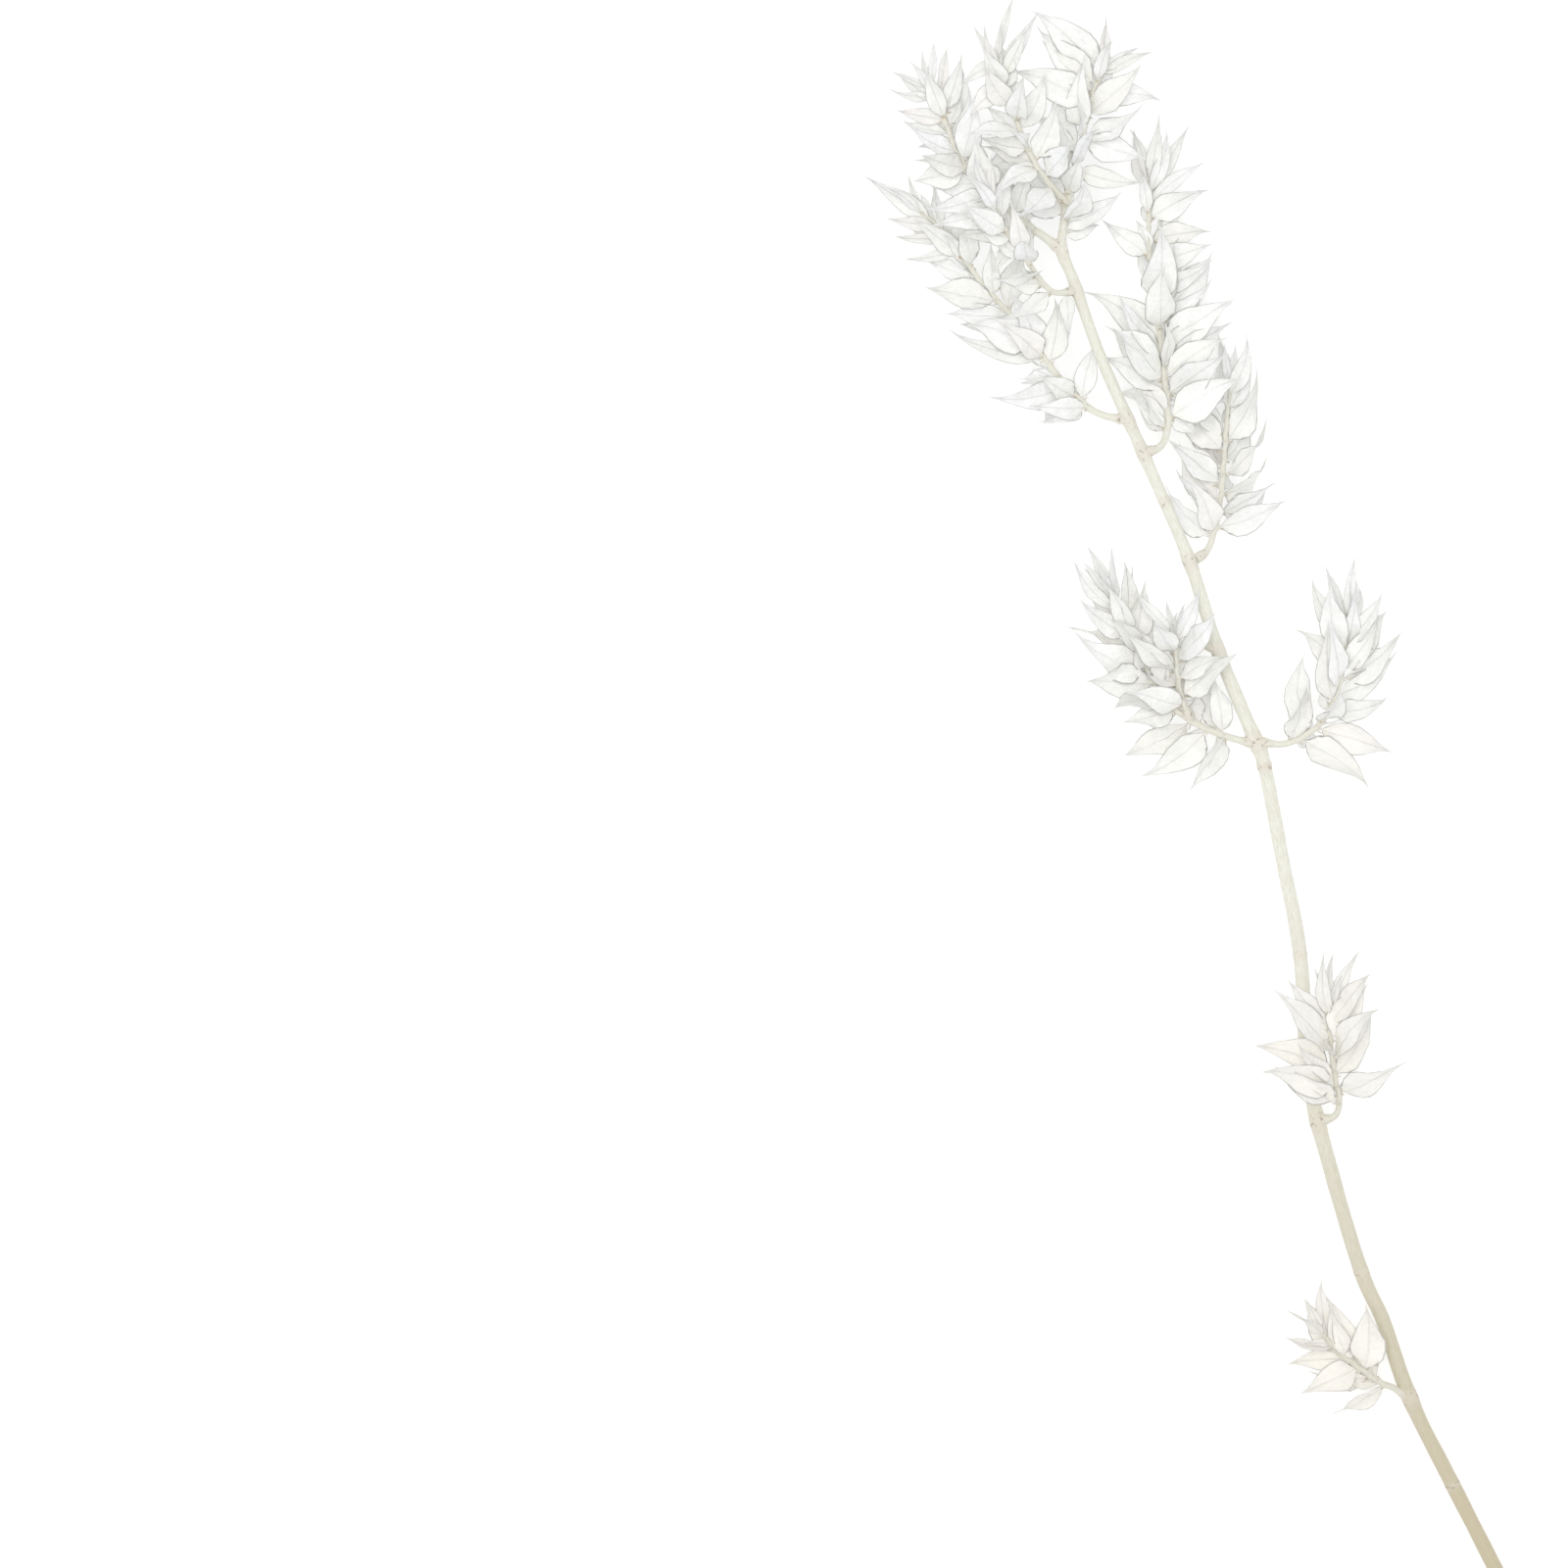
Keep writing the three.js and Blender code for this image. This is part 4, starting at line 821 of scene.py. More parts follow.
# one flattened tube on each point, which keeps its bladeGrid and gets a UV map
def rawBlades(tree, given):
    sleeve = addNode(tree, "GeometryNodeMeshCylinder", {
        "Vertices": bladeForm["sides"], "Side Segments": given["Segments"], "Radius": 1.0, "Depth": 1.0},
        fill_type="NGON")
    x, y, z = addNode(tree, "ShaderNodeSeparateXYZ", {0: addNode(tree, "GeometryNodeInputPosition")}).outputs
    raised = addNode(tree, "ShaderNodeMath", {0: z, 1: 0.5}, operation="ADD", use_clamp=True)
    run = addNode(tree, "ShaderNodeMath", {0: raised, 1: bladeForm["footCrowd"]}, operation="POWER")
    gridPoint = addNode(tree, "ShaderNodeCombineXYZ", {0: run, 1: x, 2: y})
    gridded = addNode(tree, "GeometryNodeStoreNamedAttribute", {
        "Geometry": sleeve, "Name": "bladeGrid", "Value": gridPoint},
        data_type="FLOAT_VECTOR", domain="POINT")
    halfAcross = addNode(tree, "ShaderNodeMath", {0: x, 1: 0.5, 2: 0.5}, operation="MULTIPLY_ADD")
    uvPoint = addNode(tree, "ShaderNodeCombineXYZ", {0: halfAcross, 1: run})
    mapped = addNode(tree, "GeometryNodeStoreNamedAttribute", {
        "Geometry": gridded, "Name": "UVMap", "Value": uvPoint}, data_type="FLOAT2", domain="CORNER")
    standing = addNode(tree, "GeometryNodeInstanceOnPoints", {
        "Points": given["Geometry"], "Instance": mapped})
    return addNode(tree, "GeometryNodeRealizeInstances", {0: standing})


# half the width: a narrow stalk, widest near a third, drawn out to a fine point, with an uneven edge
def bladeHalf(tree, given, blade, side):
    profile = addNode(tree, "ShaderNodeFloatCurve", {"Value": blade["s"]})
    line = profile.mapping.curves[0]
    for s in bladeForm["outlineAt"]:
        line.points.new(s, leafOutline(s))
    line.points[0].location, line.points[-1].location = (0, 0), (1, 0)
    for point in line.points:
        point.handle_type = "AUTO_CLAMPED"
    profile.mapping.update()
    full = addNode(tree, "ShaderNodeMath", {0: profile, 1: blade["width"]}, operation="MULTIPLY")
    halved = addNode(tree, "ShaderNodeMath", {0: full, 1: 0.5}, operation="MULTIPLY")
    left = addNode(tree, "ShaderNodeMath", {0: 1.0, 1: blade["s"]}, operation="SUBTRACT")
    stalk = addNode(tree, "ShaderNodeMath", {0: left, 1: given["Stalk radius"]}, operation="MULTIPLY")
    half = addNode(tree, "ShaderNodeMath", {0: halved, 1: stalk}, operation="MAXIMUM")
    edgeRun = addNode(tree, "ShaderNodeMath", {0: blade["s"], 1: bladeForm["edgeScale"]},
                      operation="MULTIPLY")
    edgePlace = addNode(tree, "ShaderNodeCombineXYZ", {0: edgeRun, 1: side, 2: blade["patch"]})
    wander = addNode(tree, "ShaderNodeTexNoise", {"Vector": edgePlace, "Scale": 1.0, "Detail": 1.0})
    eitherWay = addNode(tree, "ShaderNodeMath", {0: wander, 1: 0.5}, operation="SUBTRACT")
    edgeShare = addNode(tree, "ShaderNodeMath", {0: eitherWay, 1: given["Edge wander"], 2: 1.0},
                        operation="MULTIPLY_ADD")
    skew = addNode(tree, "ShaderNodeMath", {0: side, 1: blade["skew"], 2: 1.0}, operation="MULTIPLY_ADD")
    skewed = addNode(tree, "ShaderNodeMath", {0: half, 1: skew}, operation="MULTIPLY")
    return addNode(tree, "ShaderNodeMath", {0: skewed, 1: edgeShare}, operation="MULTIPLY")


# how far above its midrib each point lies: the fold, the ripple of the edges, dents and the thickness
def bladeLift(tree, given, blade, side, farOut, half):
    s, u = blade["s"], blade["u"]
    rounded = addNode(tree, "ShaderNodeMath", {0: farOut, 1: bladeForm["foldRise"]}, operation="POWER")
    cupped = addNode(tree, "ShaderNodeMath", {0: rounded, 1: blade["cup"]}, operation="MULTIPLY")
    runPhase = addNode(tree, "ShaderNodeMath", {0: s, 1: bladeForm["rippleRun"], 2: blade["phase"]},
                       operation="MULTIPLY_ADD")
    phase = addNode(tree, "ShaderNodeMath", {0: side, 1: bladeForm["rippleSide"], 2: runPhase},
                    operation="MULTIPLY_ADD")
    wave = addNode(tree, "ShaderNodeMath", {0: phase}, operation="SINE")
    atEdge = addNode(tree, "ShaderNodeMath", {0: u, 1: u}, operation="MULTIPLY")
    ripple = addNode(tree, "ShaderNodeMath", {0: wave, 1: given["Ripple"]}, operation="MULTIPLY")
    folded = addNode(tree, "ShaderNodeMath", {0: ripple, 1: atEdge, 2: cupped}, operation="MULTIPLY_ADD")
    dentRun, dentSide = [addNode(tree, "ShaderNodeMath", {0: way, 1: scale}, operation="MULTIPLY")
                         for way, scale in zip((s, u), bladeForm["dentScale"])]
    dentPlace = addNode(tree, "ShaderNodeCombineXYZ", {0: dentRun, 1: dentSide, 2: blade["patch"]})
    dents = addNode(tree, "ShaderNodeTexNoise", {"Vector": dentPlace, "Scale": 1.0, "Detail": 2.0})
    eitherWay = addNode(tree, "ShaderNodeMath", {0: dents, 1: 0.5}, operation="SUBTRACT")
    dented = addNode(tree, "ShaderNodeMath", {0: eitherWay, 1: given["Crumple"], 2: folded},
                     operation="MULTIPLY_ADD")
    lifted = addNode(tree, "ShaderNodeMath", {0: dented, 1: half}, operation="MULTIPLY")
    thin = addNode(tree, "ShaderNodeMapRange", {
        0: s, 1: bladeForm["stalkFrom"], 2: bladeForm["stalkTo"], 3: given["Stalk radius"],
        4: given["Half thickness"]}, interpolation_type="SMOOTHSTEP")
    fine = addNode(tree, "ShaderNodeMapRange", {0: s, 1: bladeForm["fineFrom"], 2: 1.0, 3: 1.0, 4: 0.0})
    thick = addNode(tree, "ShaderNodeMath", {0: thin, 1: fine}, operation="MULTIPLY")
    return addNode(tree, "ShaderNodeMath", {0: thick, 1: blade["h"], 2: lifted}, operation="MULTIPLY_ADD")


# each point's place: along the curved midrib, then across and above it, turned by the blade's twist
def bladePlace(tree, read, blade, outBy, liftBy):
    s, run, face = blade["s"], read["bladeRun"], read["bladeFace"]
    squared = addNode(tree, "ShaderNodeMath", {0: s, 1: s}, operation="MULTIPLY")
    fourth = addNode(tree, "ShaderNodeMath", {0: squared, 1: squared}, operation="MULTIPLY")
    bends = []
    for whole, wholeShare, end in (("curl", squared, "tipCurl"), ("sweep", squared, "tipSway"),
                                   ("twist", s, "tipTwist")):
        tipBend = addNode(tree, "ShaderNodeMath", {0: fourth, 1: blade[end]}, operation="MULTIPLY")
        bends.append(addNode(tree, "ShaderNodeMath", {0: wholeShare, 1: blade[whole], 2: tipBend},
                             operation="MULTIPLY_ADD"))
    arch, sway, turn = bends
    across = addNode(tree, "ShaderNodeVectorMath", {0: face, 1: run}, operation="CROSS_PRODUCT")
    acrossTurned, faceTurned = [
        addNode(tree, "ShaderNodeVectorRotate", {"Vector": way, "Axis": run, "Angle": turn},
                rotation_type="AXIS_ANGLE") for way in (across, face)]
    steps = [(way, addNode(tree, "ShaderNodeMath", {0: share, 1: blade["length"]}, operation="MULTIPLY"))
             for way, share in ((run, s), (face, arch), (across, sway))]
    place = read["bladeRoot"]
    for way, far in (*steps, (acrossTurned, outBy), (faceTurned, liftBy)):
        step = addNode(tree, "ShaderNodeVectorMath", {0: way, "Scale": far}, operation="SCALE")
        place = addNode(tree, "ShaderNodeVectorMath", {0: place, 1: step}, operation="ADD")
    return place


# smooth faces that meet at a crisp edge, and a tip drawn together
def finishBlades(tree, shaped, blade, farOut):
    smooth = addNode(tree, "GeometryNodeSetShadeSmooth", {"Geometry": shaped, "Shade Smooth": True},
                     domain="FACE")
    atEdge = addNode(tree, "FunctionNodeCompare", {0: farOut, 1: bladeForm["edgeFrom"]},
                     data_type="FLOAT", operation="GREATER_THAN")
    onBlade = addNode(tree, "FunctionNodeCompare", {0: blade["s"], 1: bladeForm["crispFrom"]},
                      data_type="FLOAT", operation="GREATER_THAN")
    crispHere = addNode(tree, "FunctionNodeBooleanMath", {0: atEdge, 1: onBlade}, operation="AND")
    crisp = addNode(tree, "GeometryNodeSetShadeSmooth", {
        "Geometry": smooth, "Selection": crispHere, "Shade Smooth": False}, domain="EDGE")
    return addNode(tree, "GeometryNodeMergeByDistance", {"Geometry": crisp, "Distance": bladeForm["merge"]})


# blades on points: each point carries its leaf's directions, sizes and bends
def bladeTree():
    tree, given = newTree("ruscusBlades", {
        "Segments": "NodeSocketInt", "Stalk radius": "NodeSocketFloat", "Half thickness": "NodeSocketFloat",
        "Ripple": "NodeSocketFloat", "Crumple": "NodeSocketFloat", "Edge wander": "NodeSocketFloat",
        "Material": "NodeSocketMaterial"})
    raw = rawBlades(tree, given)
    read = {name: addNode(tree, "GeometryNodeInputNamedAttribute", {"Name": name}, data_type="FLOAT_VECTOR")
            for name in ("bladeGrid", *bladeFields)}
    blade = {}
    for field, names in bladeNumbers.items():
        blade.update(zip(names, addNode(tree, "ShaderNodeSeparateXYZ", {0: read[field]}).outputs))
    side = addNode(tree, "ShaderNodeMath", {0: blade["u"]}, operation="SIGN")
    farOut = addNode(tree, "ShaderNodeMath", {0: blade["u"]}, operation="ABSOLUTE")
    half = bladeHalf(tree, given, blade, side)
    outBy = addNode(tree, "ShaderNodeMath", {0: half, 1: blade["u"]}, operation="MULTIPLY")
    liftBy = bladeLift(tree, given, blade, side, farOut, half)
    place = bladePlace(tree, read, blade, outBy, liftBy)
    shaped = addNode(tree, "GeometryNodeSetPosition", {"Geometry": raw, "Position": place})
    return endTree(tree, finishBlades(tree, shaped, blade, farOut), read, given["Material"])


# what each point of a line is told
woodFields = {
    "woodRadius": "FLOAT", "woodLength": "FLOAT", "woodRun": "FLOAT_VECTOR", "woodCentre": "FLOAT_VECTOR",
    "jointTint": "FLOAT", "cutFace": "FLOAT", "coreShare": "FLOAT", "strawTint": "FLOAT",
}


# tubes along lines, with their grain and a slanted cut
def woodTree():
    tree, given = newTree("ruscusWood", {
        "Sides": "NodeSocketInt", "Cut slant": "NodeSocketFloat", "Material": "NodeSocketMaterial"})
    read = {name: addNode(tree, "GeometryNodeInputNamedAttribute", {"Name": name}, data_type=kind)
            for name, kind in (*woodFields.items(), ("ringPoint", "FLOAT_VECTOR"))}
    line = addNode(tree, "GeometryNodeMeshToCurve", {"Mesh": given["Geometry"]})
    sized = addNode(tree, "GeometryNodeSetCurveRadius", {"Curve": line, "Radius": read["woodRadius"]})
    ring = addNode(tree, "GeometryNodeCurvePrimitiveCircle", {"Resolution": given["Sides"], "Radius": 1.0})
    here = addNode(tree, "GeometryNodeInputPosition")
    marked = addNode(tree, "GeometryNodeStoreNamedAttribute", {
        "Geometry": ring, "Name": "ringPoint", "Value": here}, data_type="FLOAT_VECTOR", domain="POINT")
    tube = addNode(tree, "GeometryNodeCurveToMesh", {
        "Curve": sized, "Profile Curve": marked, "Scale": read["woodRadius"], "Fill Caps": True})

    # where the grain lies: round the stem in x and y, along it in z, in mm
    around = addNode(tree, "ShaderNodeVectorMath", {0: read["ringPoint"], "Scale": read["coreShare"]},
                     operation="SCALE")
    aroundX, aroundY = addNode(tree, "ShaderNodeSeparateXYZ", {0: around}).outputs[:2]
    flow = addNode(tree, "ShaderNodeCombineXYZ", {0: aroundX, 1: aroundY, 2: read["woodLength"]})
    grained = addNode(tree, "GeometryNodeStoreNamedAttribute", {
        "Geometry": tube, "Name": "grainFlow", "Value": flow}, data_type="FLOAT_VECTOR", domain="POINT")

    # the slanted cut
    fromCentre = addNode(tree, "ShaderNodeVectorMath", {0: here, 1: read["woodCentre"]}, operation="SUBTRACT")
    level = addNode(tree, "ShaderNodeVectorMath", {0: tuple(up), 1: read["woodRun"]},
                    operation="CROSS_PRODUCT")
    outBy = addNode(tree, "ShaderNodeVectorMath", {0: fromCentre, 1: level},
                    operation="DOT_PRODUCT").outputs["Value"]
    slope = addNode(tree, "ShaderNodeMath", {0: outBy, 1: given["Cut slant"]}, operation="MULTIPLY")
    cutOnly = addNode(tree, "ShaderNodeMath", {0: slope, 1: read["cutFace"]}, operation="MULTIPLY")
    shift = addNode(tree, "ShaderNodeVectorMath", {0: read["woodRun"], "Scale": cutOnly}, operation="SCALE")
    slanted = addNode(tree, "GeometryNodeSetPosition", {"Geometry": grained, "Offset": shift})
    smooth = addNode(tree, "GeometryNodeSetShadeSmooth", {"Geometry": slanted, "Shade Smooth": True},
                     domain="FACE")
    spent = ("woodRadius", "woodLength", "woodRun", "woodCentre", "ringPoint", "coreShare")
    return endTree(tree, smooth, spent, given["Material"])


# a host mesh of points, with its fields, goes through a tree and comes out as a plain mesh
def makePiece(name, points, edges, fields, tree, sizes):
    mesh = bpy.data.meshes.new(name + "Host")
    mesh.from_pydata([tuple(p) for p in points], edges, [])
    for label, values in fields.items():
        values = np.array(values, np.float32)
        kind, target = ("FLOAT_VECTOR", "vector") if values.ndim == 2 else ("FLOAT", "value")
        mesh.attributes.new(label, kind, "POINT").data.foreach_set(target, values.ravel())
    host = bpy.data.objects.new(name + "Host", mesh)
    bpy.context.scene.collection.objects.link(host)
    modifier = host.modifiers.new("grow", "NODES")
    modifier.node_group = tree
    for item in tree.interface.items_tree:
        if item.in_out == "INPUT" and item.name in sizes:
            modifier[item.identifier] = sizes[item.name]
    graph = bpy.context.evaluated_depsgraph_get()
    plain = bpy.data.meshes.new_from_object(host.evaluated_get(graph))
    host.modifiers.remove(modifier)
    bpy.data.objects.remove(host)
    plain.name = name
    piece = bpy.data.objects.new(name, plain)
    bpy.context.scene.collection.objects.link(piece)
    outward(plain)
    print(name, "has", sum(len(p.vertices) - 2 for p in plain.polygons), "triangles")
    return piece


# closed shells enclose a positive volume when their faces point outwards
def outward(mesh):
    volume = 0
    for face in mesh.polygons:
        corners = [mesh.vertices[i].co for i in face.vertices]
        for a, b in zip(corners[1:-1], corners[2:]):
            volume += corners[0].dot(a.cross(b))
    if volume < 0:
        mesh.flip_normals()


blades, tubes = bladeTree(), woodTree()


# Leaves and twigs of each shoot.

# sizes in metres; ripple, crumple and the edge's wander are shares of half the width
leafLook = {"Segments": 9, "Stalk radius": 0.00036, "Half thickness": 0.00014, "Ripple": 0.26,
            "Crumple": 0.95, "Edge wander": 0.3, "Material": leafMaterial}
leafBends = {"tipCurl": 0.22, "tipSway": 0.2, "tipTwist": 1.6, "turn": 0.55, "plump": 0.12,
             "freeOver": 6, "freeFrom": 0.4}            # tips under 2.4 mm don't bend, from 8.4 mm they may
phaseRange = 6.28
noiseRange = 40                # how far apart the noise of two leaves may lie


# rows holds a tuple for each blade, in the order of bladeFields
def bladePiece(name, rows, look, **extra):
    fields = {label: [row[i] for row in rows] for i, label in enumerate(bladeFields)}
    return makePiece(name, fields["bladeRoot"], [], fields | extra, blades, look)


def leafPiece(name, leaves):
    rows = []
    for leaf in leaves:
        seed, index = leaf["seed"], leaf["index"]
        isFoot = index == firstIndex["feet"]
        height = bladePoint(leaf, 1, 0).z / leafBends["freeOver"] - leafBends["freeFrom"]
        free = 0 if isFoot else min(1, max(0, height))
        plump = 1 + free * leafBends["plump"] * spread(seed, index, 38)
        turn = leaf["twist"] + free * leafBends["turn"] * spread(seed, index, 37)
        tipCurl = free * leafBends["tipCurl"] * spread(seed, index, 31)
        tipSway = free * leafBends["tipSway"] * spread(seed, index, 34)
        tipTwist = leafBends["tipTwist"] * spread(seed, index, 35)
        rows.append((toFrame(leaf["root"]), leaf["along"], leaf["face"],
                     (leaf["length"] / perMetre, leaf["width"] * plump / perMetre, tipCurl),
                     (leaf["curl"], leaf["sweep"], turn),
                     (leaf["cup"], leaf["skew"], phaseRange * draw(seed, index, 32)),
                     (tipSway, tipTwist, noiseRange * draw(seed, index, 36))))
    tints = [draw(leaf["seed"], leaf["index"], 33) for leaf in leaves]
    return bladePiece(name, rows, leafLook, leafTint=tints)


# each line is a list of samples: point, direction, radius, length so far, joint tint, whether it is a cut
# face, share of the radius, and straw tint
def woodPiece(name, woodLines, sides, slant=0.0):
    points, edges = [], []
    fields = {label: [] for label in woodFields}
    for samples in woodLines:
        for i, (p, run, radius, length, tint, cut, core, straw) in enumerate(samples):
            if i:
                edges.append((len(points) - 1, len(points)))
            points.append(toFrame(p))
            values = (radius / perMetre, length, run, toFrame(p), tint, cut, core, straw)
            for label, value in zip(woodFields, values):
                fields[label].append(value)
    look = {"Sides": sides, "Cut slant": slant, "Material": woodMaterial}
    return makePiece(name, points, edges, fields, tubes, look)


# how strong the tint of each kind of joint is, and how wide
jointTints = {"knuckle": (0.22, 1.1), "collar": (0.5, 2.6), "leader": (0.3, 4), "joint": (0.5, 3.4),
              "scar": (0.9, 1.5), "oldNode": (0.5, 1.4)}


def tintOf(kind, s, at):
    strength, width = jointTints[kind]
    return strength * hump(s, at, width)


def twigSamples(twig, begin, end, knuckles):
    samples = []
    for s in np.linspace(begin, end, max(2, round((end - begin) / twigLook["step"]))):
        along = frameAt(twig["line"], s)[0]
        p, radius, tints = pointAt(twig["line"], s), twigRadius(twig, s), [0.0]
        for at, way in knuckles:
            p = p + way * twigLook["zigzag"] * hump(s, at, jointTints["knuckle"][1])
            radius += twigLook["knuckle"] * hump(s - at, -twigLook["knuckleBelow"], twigLook["knuckleWidth"])
            tints.append(tintOf("knuckle", s, at))
        if twig.get("onAxis"):
            tints += [tintOf("leader", s, joint) for joint in joints]
        else:
            radius += twigLook["collar"] * hump(s, twigLook["collarAt"], twigLook["collarWidth"])
            tints.append(tintOf("collar", s, twigLook["collarAt"]))
        low = ease((twigLook["strawBelow"] - p.y) / twigLook["strawOver"])
        straw = twigLook["straw"] + twigLook["strawMore"] * low
        length = s + twigLook["grainShift"] * draw(twig["seed"], 1, 41)
        samples.append((p, along, radius, length, max(tints), 0, 1, straw))
    return samples


def knucklesOf(leaves, twig):
    found = []
    for leaf in leaves:
        if leaf["twig"] is twig and hasScale(leaf):
            along = frameAt(twig["line"], leaf["at"])[0]
            way = leaf["along"] - along * leaf["along"].dot(along)
            found.append((leaf["at"], way.normalized() if way.length > 1e-6 else way))
    return found


# rounds off the end of a line
def closeOff(samples):
    p, run, radius, *rest = samples[-1]
    for k in range(1, twigLook["domeSteps"] + 1):
        a = math.pi / 2 * k / (twigLook["domeSteps"] + twigLook["domeLeft"])
        samples.append((p + run * radius * twigLook["dome"] * math.sin(a), run, radius * math.cos(a), *rest))
    return samples


seamAt = 0.15       # the wood of the axis ends and that of the shoot starts here, past the socket
for name, shoot in shoots.items():
    words = name.split("_")[:-1]
    stem = words[0] + "".join(word.title() for word in words[1:])
    leafPart = leafPiece(stem + "Leaves", shoot["leaves"])
    woodLines = []
    for i, twig in enumerate(shoot["twigs"]):
        begin = crownAt + seamAt if twig.get("onAxis") else twig["socket"] + seamAt if i == 0 else 0
        knuckles = knucklesOf(shoot["leaves"], twig)
        woodLines.append(closeOff(twigSamples(twig, begin, twig["line"]["total"], knuckles)))
    twigPart = woodPiece(stem + "Twigs", woodLines, twigLook["sides"])
    for piece, slotName in ((leafPart, "leaf"), (twigPart, "stem_wood")):
        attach(piece, "root")
        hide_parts(name)
print("sprays made")

scaleLook = {"Segments": 3, "Stalk radius": 0.0003, "Half thickness": 0.00006, "Ripple": 0.15,
             "Crumple": 0.5, "Edge wander": 0.3, "Material": scaleMaterial}
scaleSize = {"length": 2.7, "width": 1.7, "vary": 0.25,
             "below": 0.8, "sunk": 0.7, "lean": 0.35, "leanVary": 0.2,
             "cup": -0.55, "tipCurl": 0.2, "curl": 0.15, "sweep": 0.1,
             "bareEnd": 6}                              # no scales so near the end of a twig


# a dry scale under the foot of each main leaf, half round its stalk
def scalePiece():
    rows = []
    for leaf in (leaf for shoot in shoots.values() for leaf in shoot["leaves"]):
        seed, index, twig = leaf["seed"], leaf["index"], leaf["twig"]
        if not hasScale(leaf) or leaf["at"] > twig["line"]["total"] - scaleSize["bareEnd"]:
            continue
        at = leaf["at"] - scaleSize["below"]
        along = frameAt(twig["line"], at)[0]
        out = (leaf["along"] - along * leaf["along"].dot(along)).normalized()
        lean = scaleSize["lean"] + scaleSize["leanVary"] * spread(seed, index, 81)
        run = (leaf["along"] - along * lean).normalized()
        size = 1 + scaleSize["vary"] * spread(seed, index, 82)
        root = pointAt(twig["line"], at) + out * twigRadius(twig, at) * scaleSize["sunk"]
        rows.append((toFrame(root), run, (-along + run * along.dot(run)).normalized(),
                     (scaleSize["length"] * size / perMetre, scaleSize["width"] * size / perMetre,
                      scaleSize["tipCurl"] * spread(seed, index, 83)),
                     (scaleSize["curl"] * spread(seed, index, 84),
                      scaleSize["sweep"] * spread(seed, index, 85), 0),
                     (scaleSize["cup"], 0, phaseRange * draw(seed, index, 86)),
                     (0, 0, noiseRange * draw(seed, index, 87))))
    return bladePiece("budScales", rows, scaleLook)


scales = scalePiece()
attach(scales, "root")


# The axis, with its sockets and its stub.

def axisSamples():
    rings = [lengthNear(axis, point) for point in mainAxis["oldNodes"]]
    foot, along, first = pointAt(axis, 0), frameAt(axis, 0)[0], axisRadius(0)
    samples = [(foot + along * sunk, along, first * share, 0, 0, 1, share, 1)
               for share, sunk in mainAxis["cutRings"]]
    for s in np.linspace(mainAxis["firstRing"], crownAt + seamAt, round(crownAt / mainAxis["step"])):
        uneven = sum(share * math.sin(s / length + start) for share, length, start in mainAxis["waves"])
        radius = axisRadius(s) * (1 + ease(s / mainAxis["wavesOver"]) * uneven)
        for ring in rings:
            radius += mainAxis["oldNodeHeight"] * hump(s, ring, mainAxis["oldNodeWidth"])
        tint = max([tintOf("joint", s, joint) for joint in joints] + [tintOf("scar", s, scarAt)]
                   + [tintOf("oldNode", s, ring) for ring in rings])
        # darker straw towards the cut: partly its own colour, partly painted shade
        fall = ease(mainAxis["strawFall"] * s / crownAt - mainAxis["strawFrom"])
        straw = mainAxis["straw"] + mainAxis["strawMore"] * (1 - fall)
        cut = 1 if s < mainAxis["cutOver"] else 0
        samples.append((pointAt(axis, s), frameAt(axis, s)[0], radius, s, tint, cut, 1, straw))
    return samples


def stubSamples():
    stub = mainAxis["stub"]
    path = smoothPath(stub["path"])
    samples = []
    for s in np.linspace(0, path["total"], stub["steps"]):
        share = s / path["total"]
        collar = twigLook["collar"] * hump(s, twigLook["collarAt"], twigLook["collarWidth"])
        radius, tint = lerp(*stub["r"], share) + collar, stub["tint"] + stub["tintMore"] * share ** 3
        samples.append((pointAt(path, s), frameAt(path, s)[0], radius, s, tint, 0, 1, stub["straw"]))
    p, run, radius, length = samples[-1][:4]
    for share in stub["brokenRings"]:
        inner = p - run * stub["brokenDepth"] * (1 - share)
        samples.append((inner, run, radius * share, length, 1, stub["brokenPith"], share, stub["straw"]))
    return samples


axisPart = woodPiece("mainAxis", [axisSamples()], mainAxis["sides"], mainAxis["cutSlant"])
socketLines = [twigSamples(shoot["twigs"][0], 0, shoot["twigs"][0]["socket"] + seamAt, [])
               for shoot in shoots.values() if not shoot["twigs"][0].get("onAxis")]
socketPart = woodPiece("sockets", socketLines + [stubSamples()], socketRule["sides"])
for piece in (axisPart, socketPart):
    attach(piece, "root")
    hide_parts("main_stem")
print("axis made")


# Floor, light and camera. Lengths are in metres.

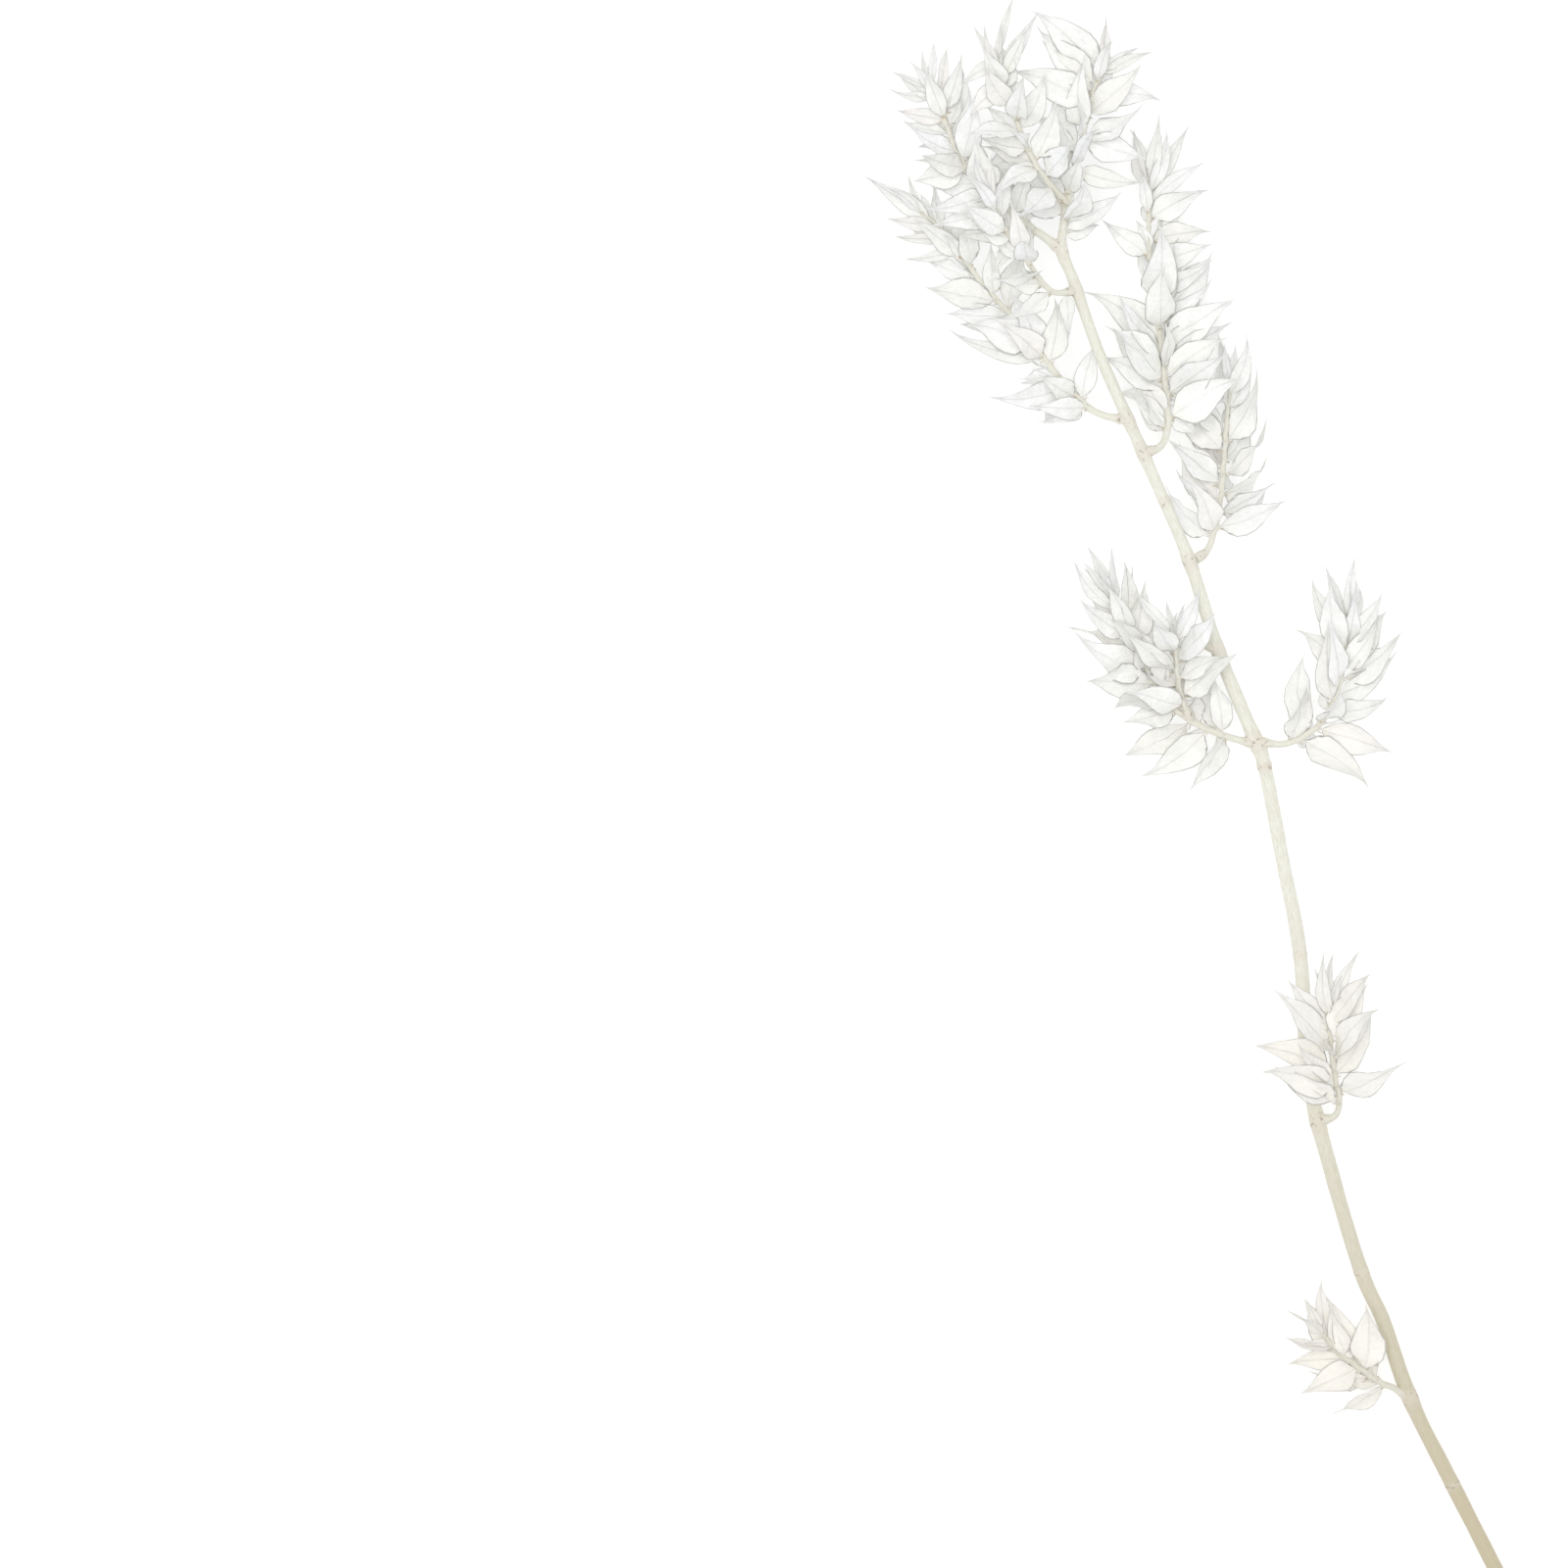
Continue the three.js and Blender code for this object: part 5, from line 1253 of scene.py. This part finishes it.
board = {"colour": "FDFDFC", "rough": 0.85, "specular": 0.1, "half": 6,
         "glow": 0.2}                                          # a light table, so shadows on it stay faint
sky = {"colour": "F7F9FB", "strength": 0.745}
lamps = {
    "keyBox": {"at": (-0.38, 0.22, 3.0), "size": 1.9, "power": 51, "colour": "FFFEFB"},
    "fillBox": {"at": (1.6, -0.6, 1.6), "size": 1.8, "power": 2, "colour": "F3F7FF"},
}
aim = Vector((0, 0.05, 0.03))
view = {"over": (-0.1706, 0.0321), "across": 0.608,            # the camera looks straight down
        "height": 0.035,                                       # where "across" is measured, above the floor
        "lens": 150.0, "sensor": 36.0, "clip": 50,
        "gamma": 1.38}                                         # high key, with open shadows


def addFloor():
    material = bpy.data.materials.new("paleBoard")
    material.use_nodes = True
    skin = material.node_tree.nodes["Principled BSDF"]
    skin.inputs["Base Color"].default_value = linear(board["colour"])
    skin.inputs["Roughness"].default_value = board["rough"]
    skin.inputs["Specular IOR Level"].default_value = board["specular"]
    skin.inputs["Emission Color"].default_value = linear(board["colour"])
    skin.inputs["Emission Strength"].default_value = board["glow"]
    h = board["half"]
    mesh = bpy.data.meshes.new("floor")
    mesh.from_pydata([(-h, -h, 0), (h, -h, 0), (h, h, 0), (-h, h, 0)], [], [(0, 1, 2, 3)])
    mesh.materials.append(material)
    floor = bpy.data.objects.new("floor", mesh)
    bpy.context.scene.collection.objects.link(floor)


def addLight():
    world = bpy.data.worlds.new("studio")
    bpy.context.scene.world = world
    world.use_nodes = True
    background = world.node_tree.nodes["Background"]
    background.inputs["Color"].default_value = linear(sky["colour"])
    background.inputs["Strength"].default_value = sky["strength"]
    for name, lamp in lamps.items():
        light = bpy.data.lights.new(name, "AREA")
        light.shape, light.size = "DISK", lamp["size"]
        light.energy, light.color = lamp["power"], linear(lamp["colour"])[:3]
        holder = bpy.data.objects.new(name, light)
        holder.location = lamp["at"]
        holder.rotation_euler = (aim - holder.location).to_track_quat("-Z", "Y").to_euler()
        bpy.context.scene.collection.objects.link(holder)


def addCamera():
    camera = bpy.data.objects.new("camera", bpy.data.cameras.new("camera"))
    camera.data.lens, camera.data.sensor_width = view["lens"], view["sensor"]
    camera.location = (*view["over"], view["height"] + view["across"] * view["lens"] / view["sensor"])
    camera.rotation_euler = (0, 0, 0)                          # the crown is at the top
    camera.data.clip_end = view["clip"]
    bpy.context.scene.collection.objects.link(camera)
    bpy.context.scene.camera = camera
    bpy.context.scene.view_settings.view_transform = "Standard"
    bpy.context.scene.view_settings.gamma = view["gamma"]


addFloor()
addLight()
addCamera()
print("studio set up")
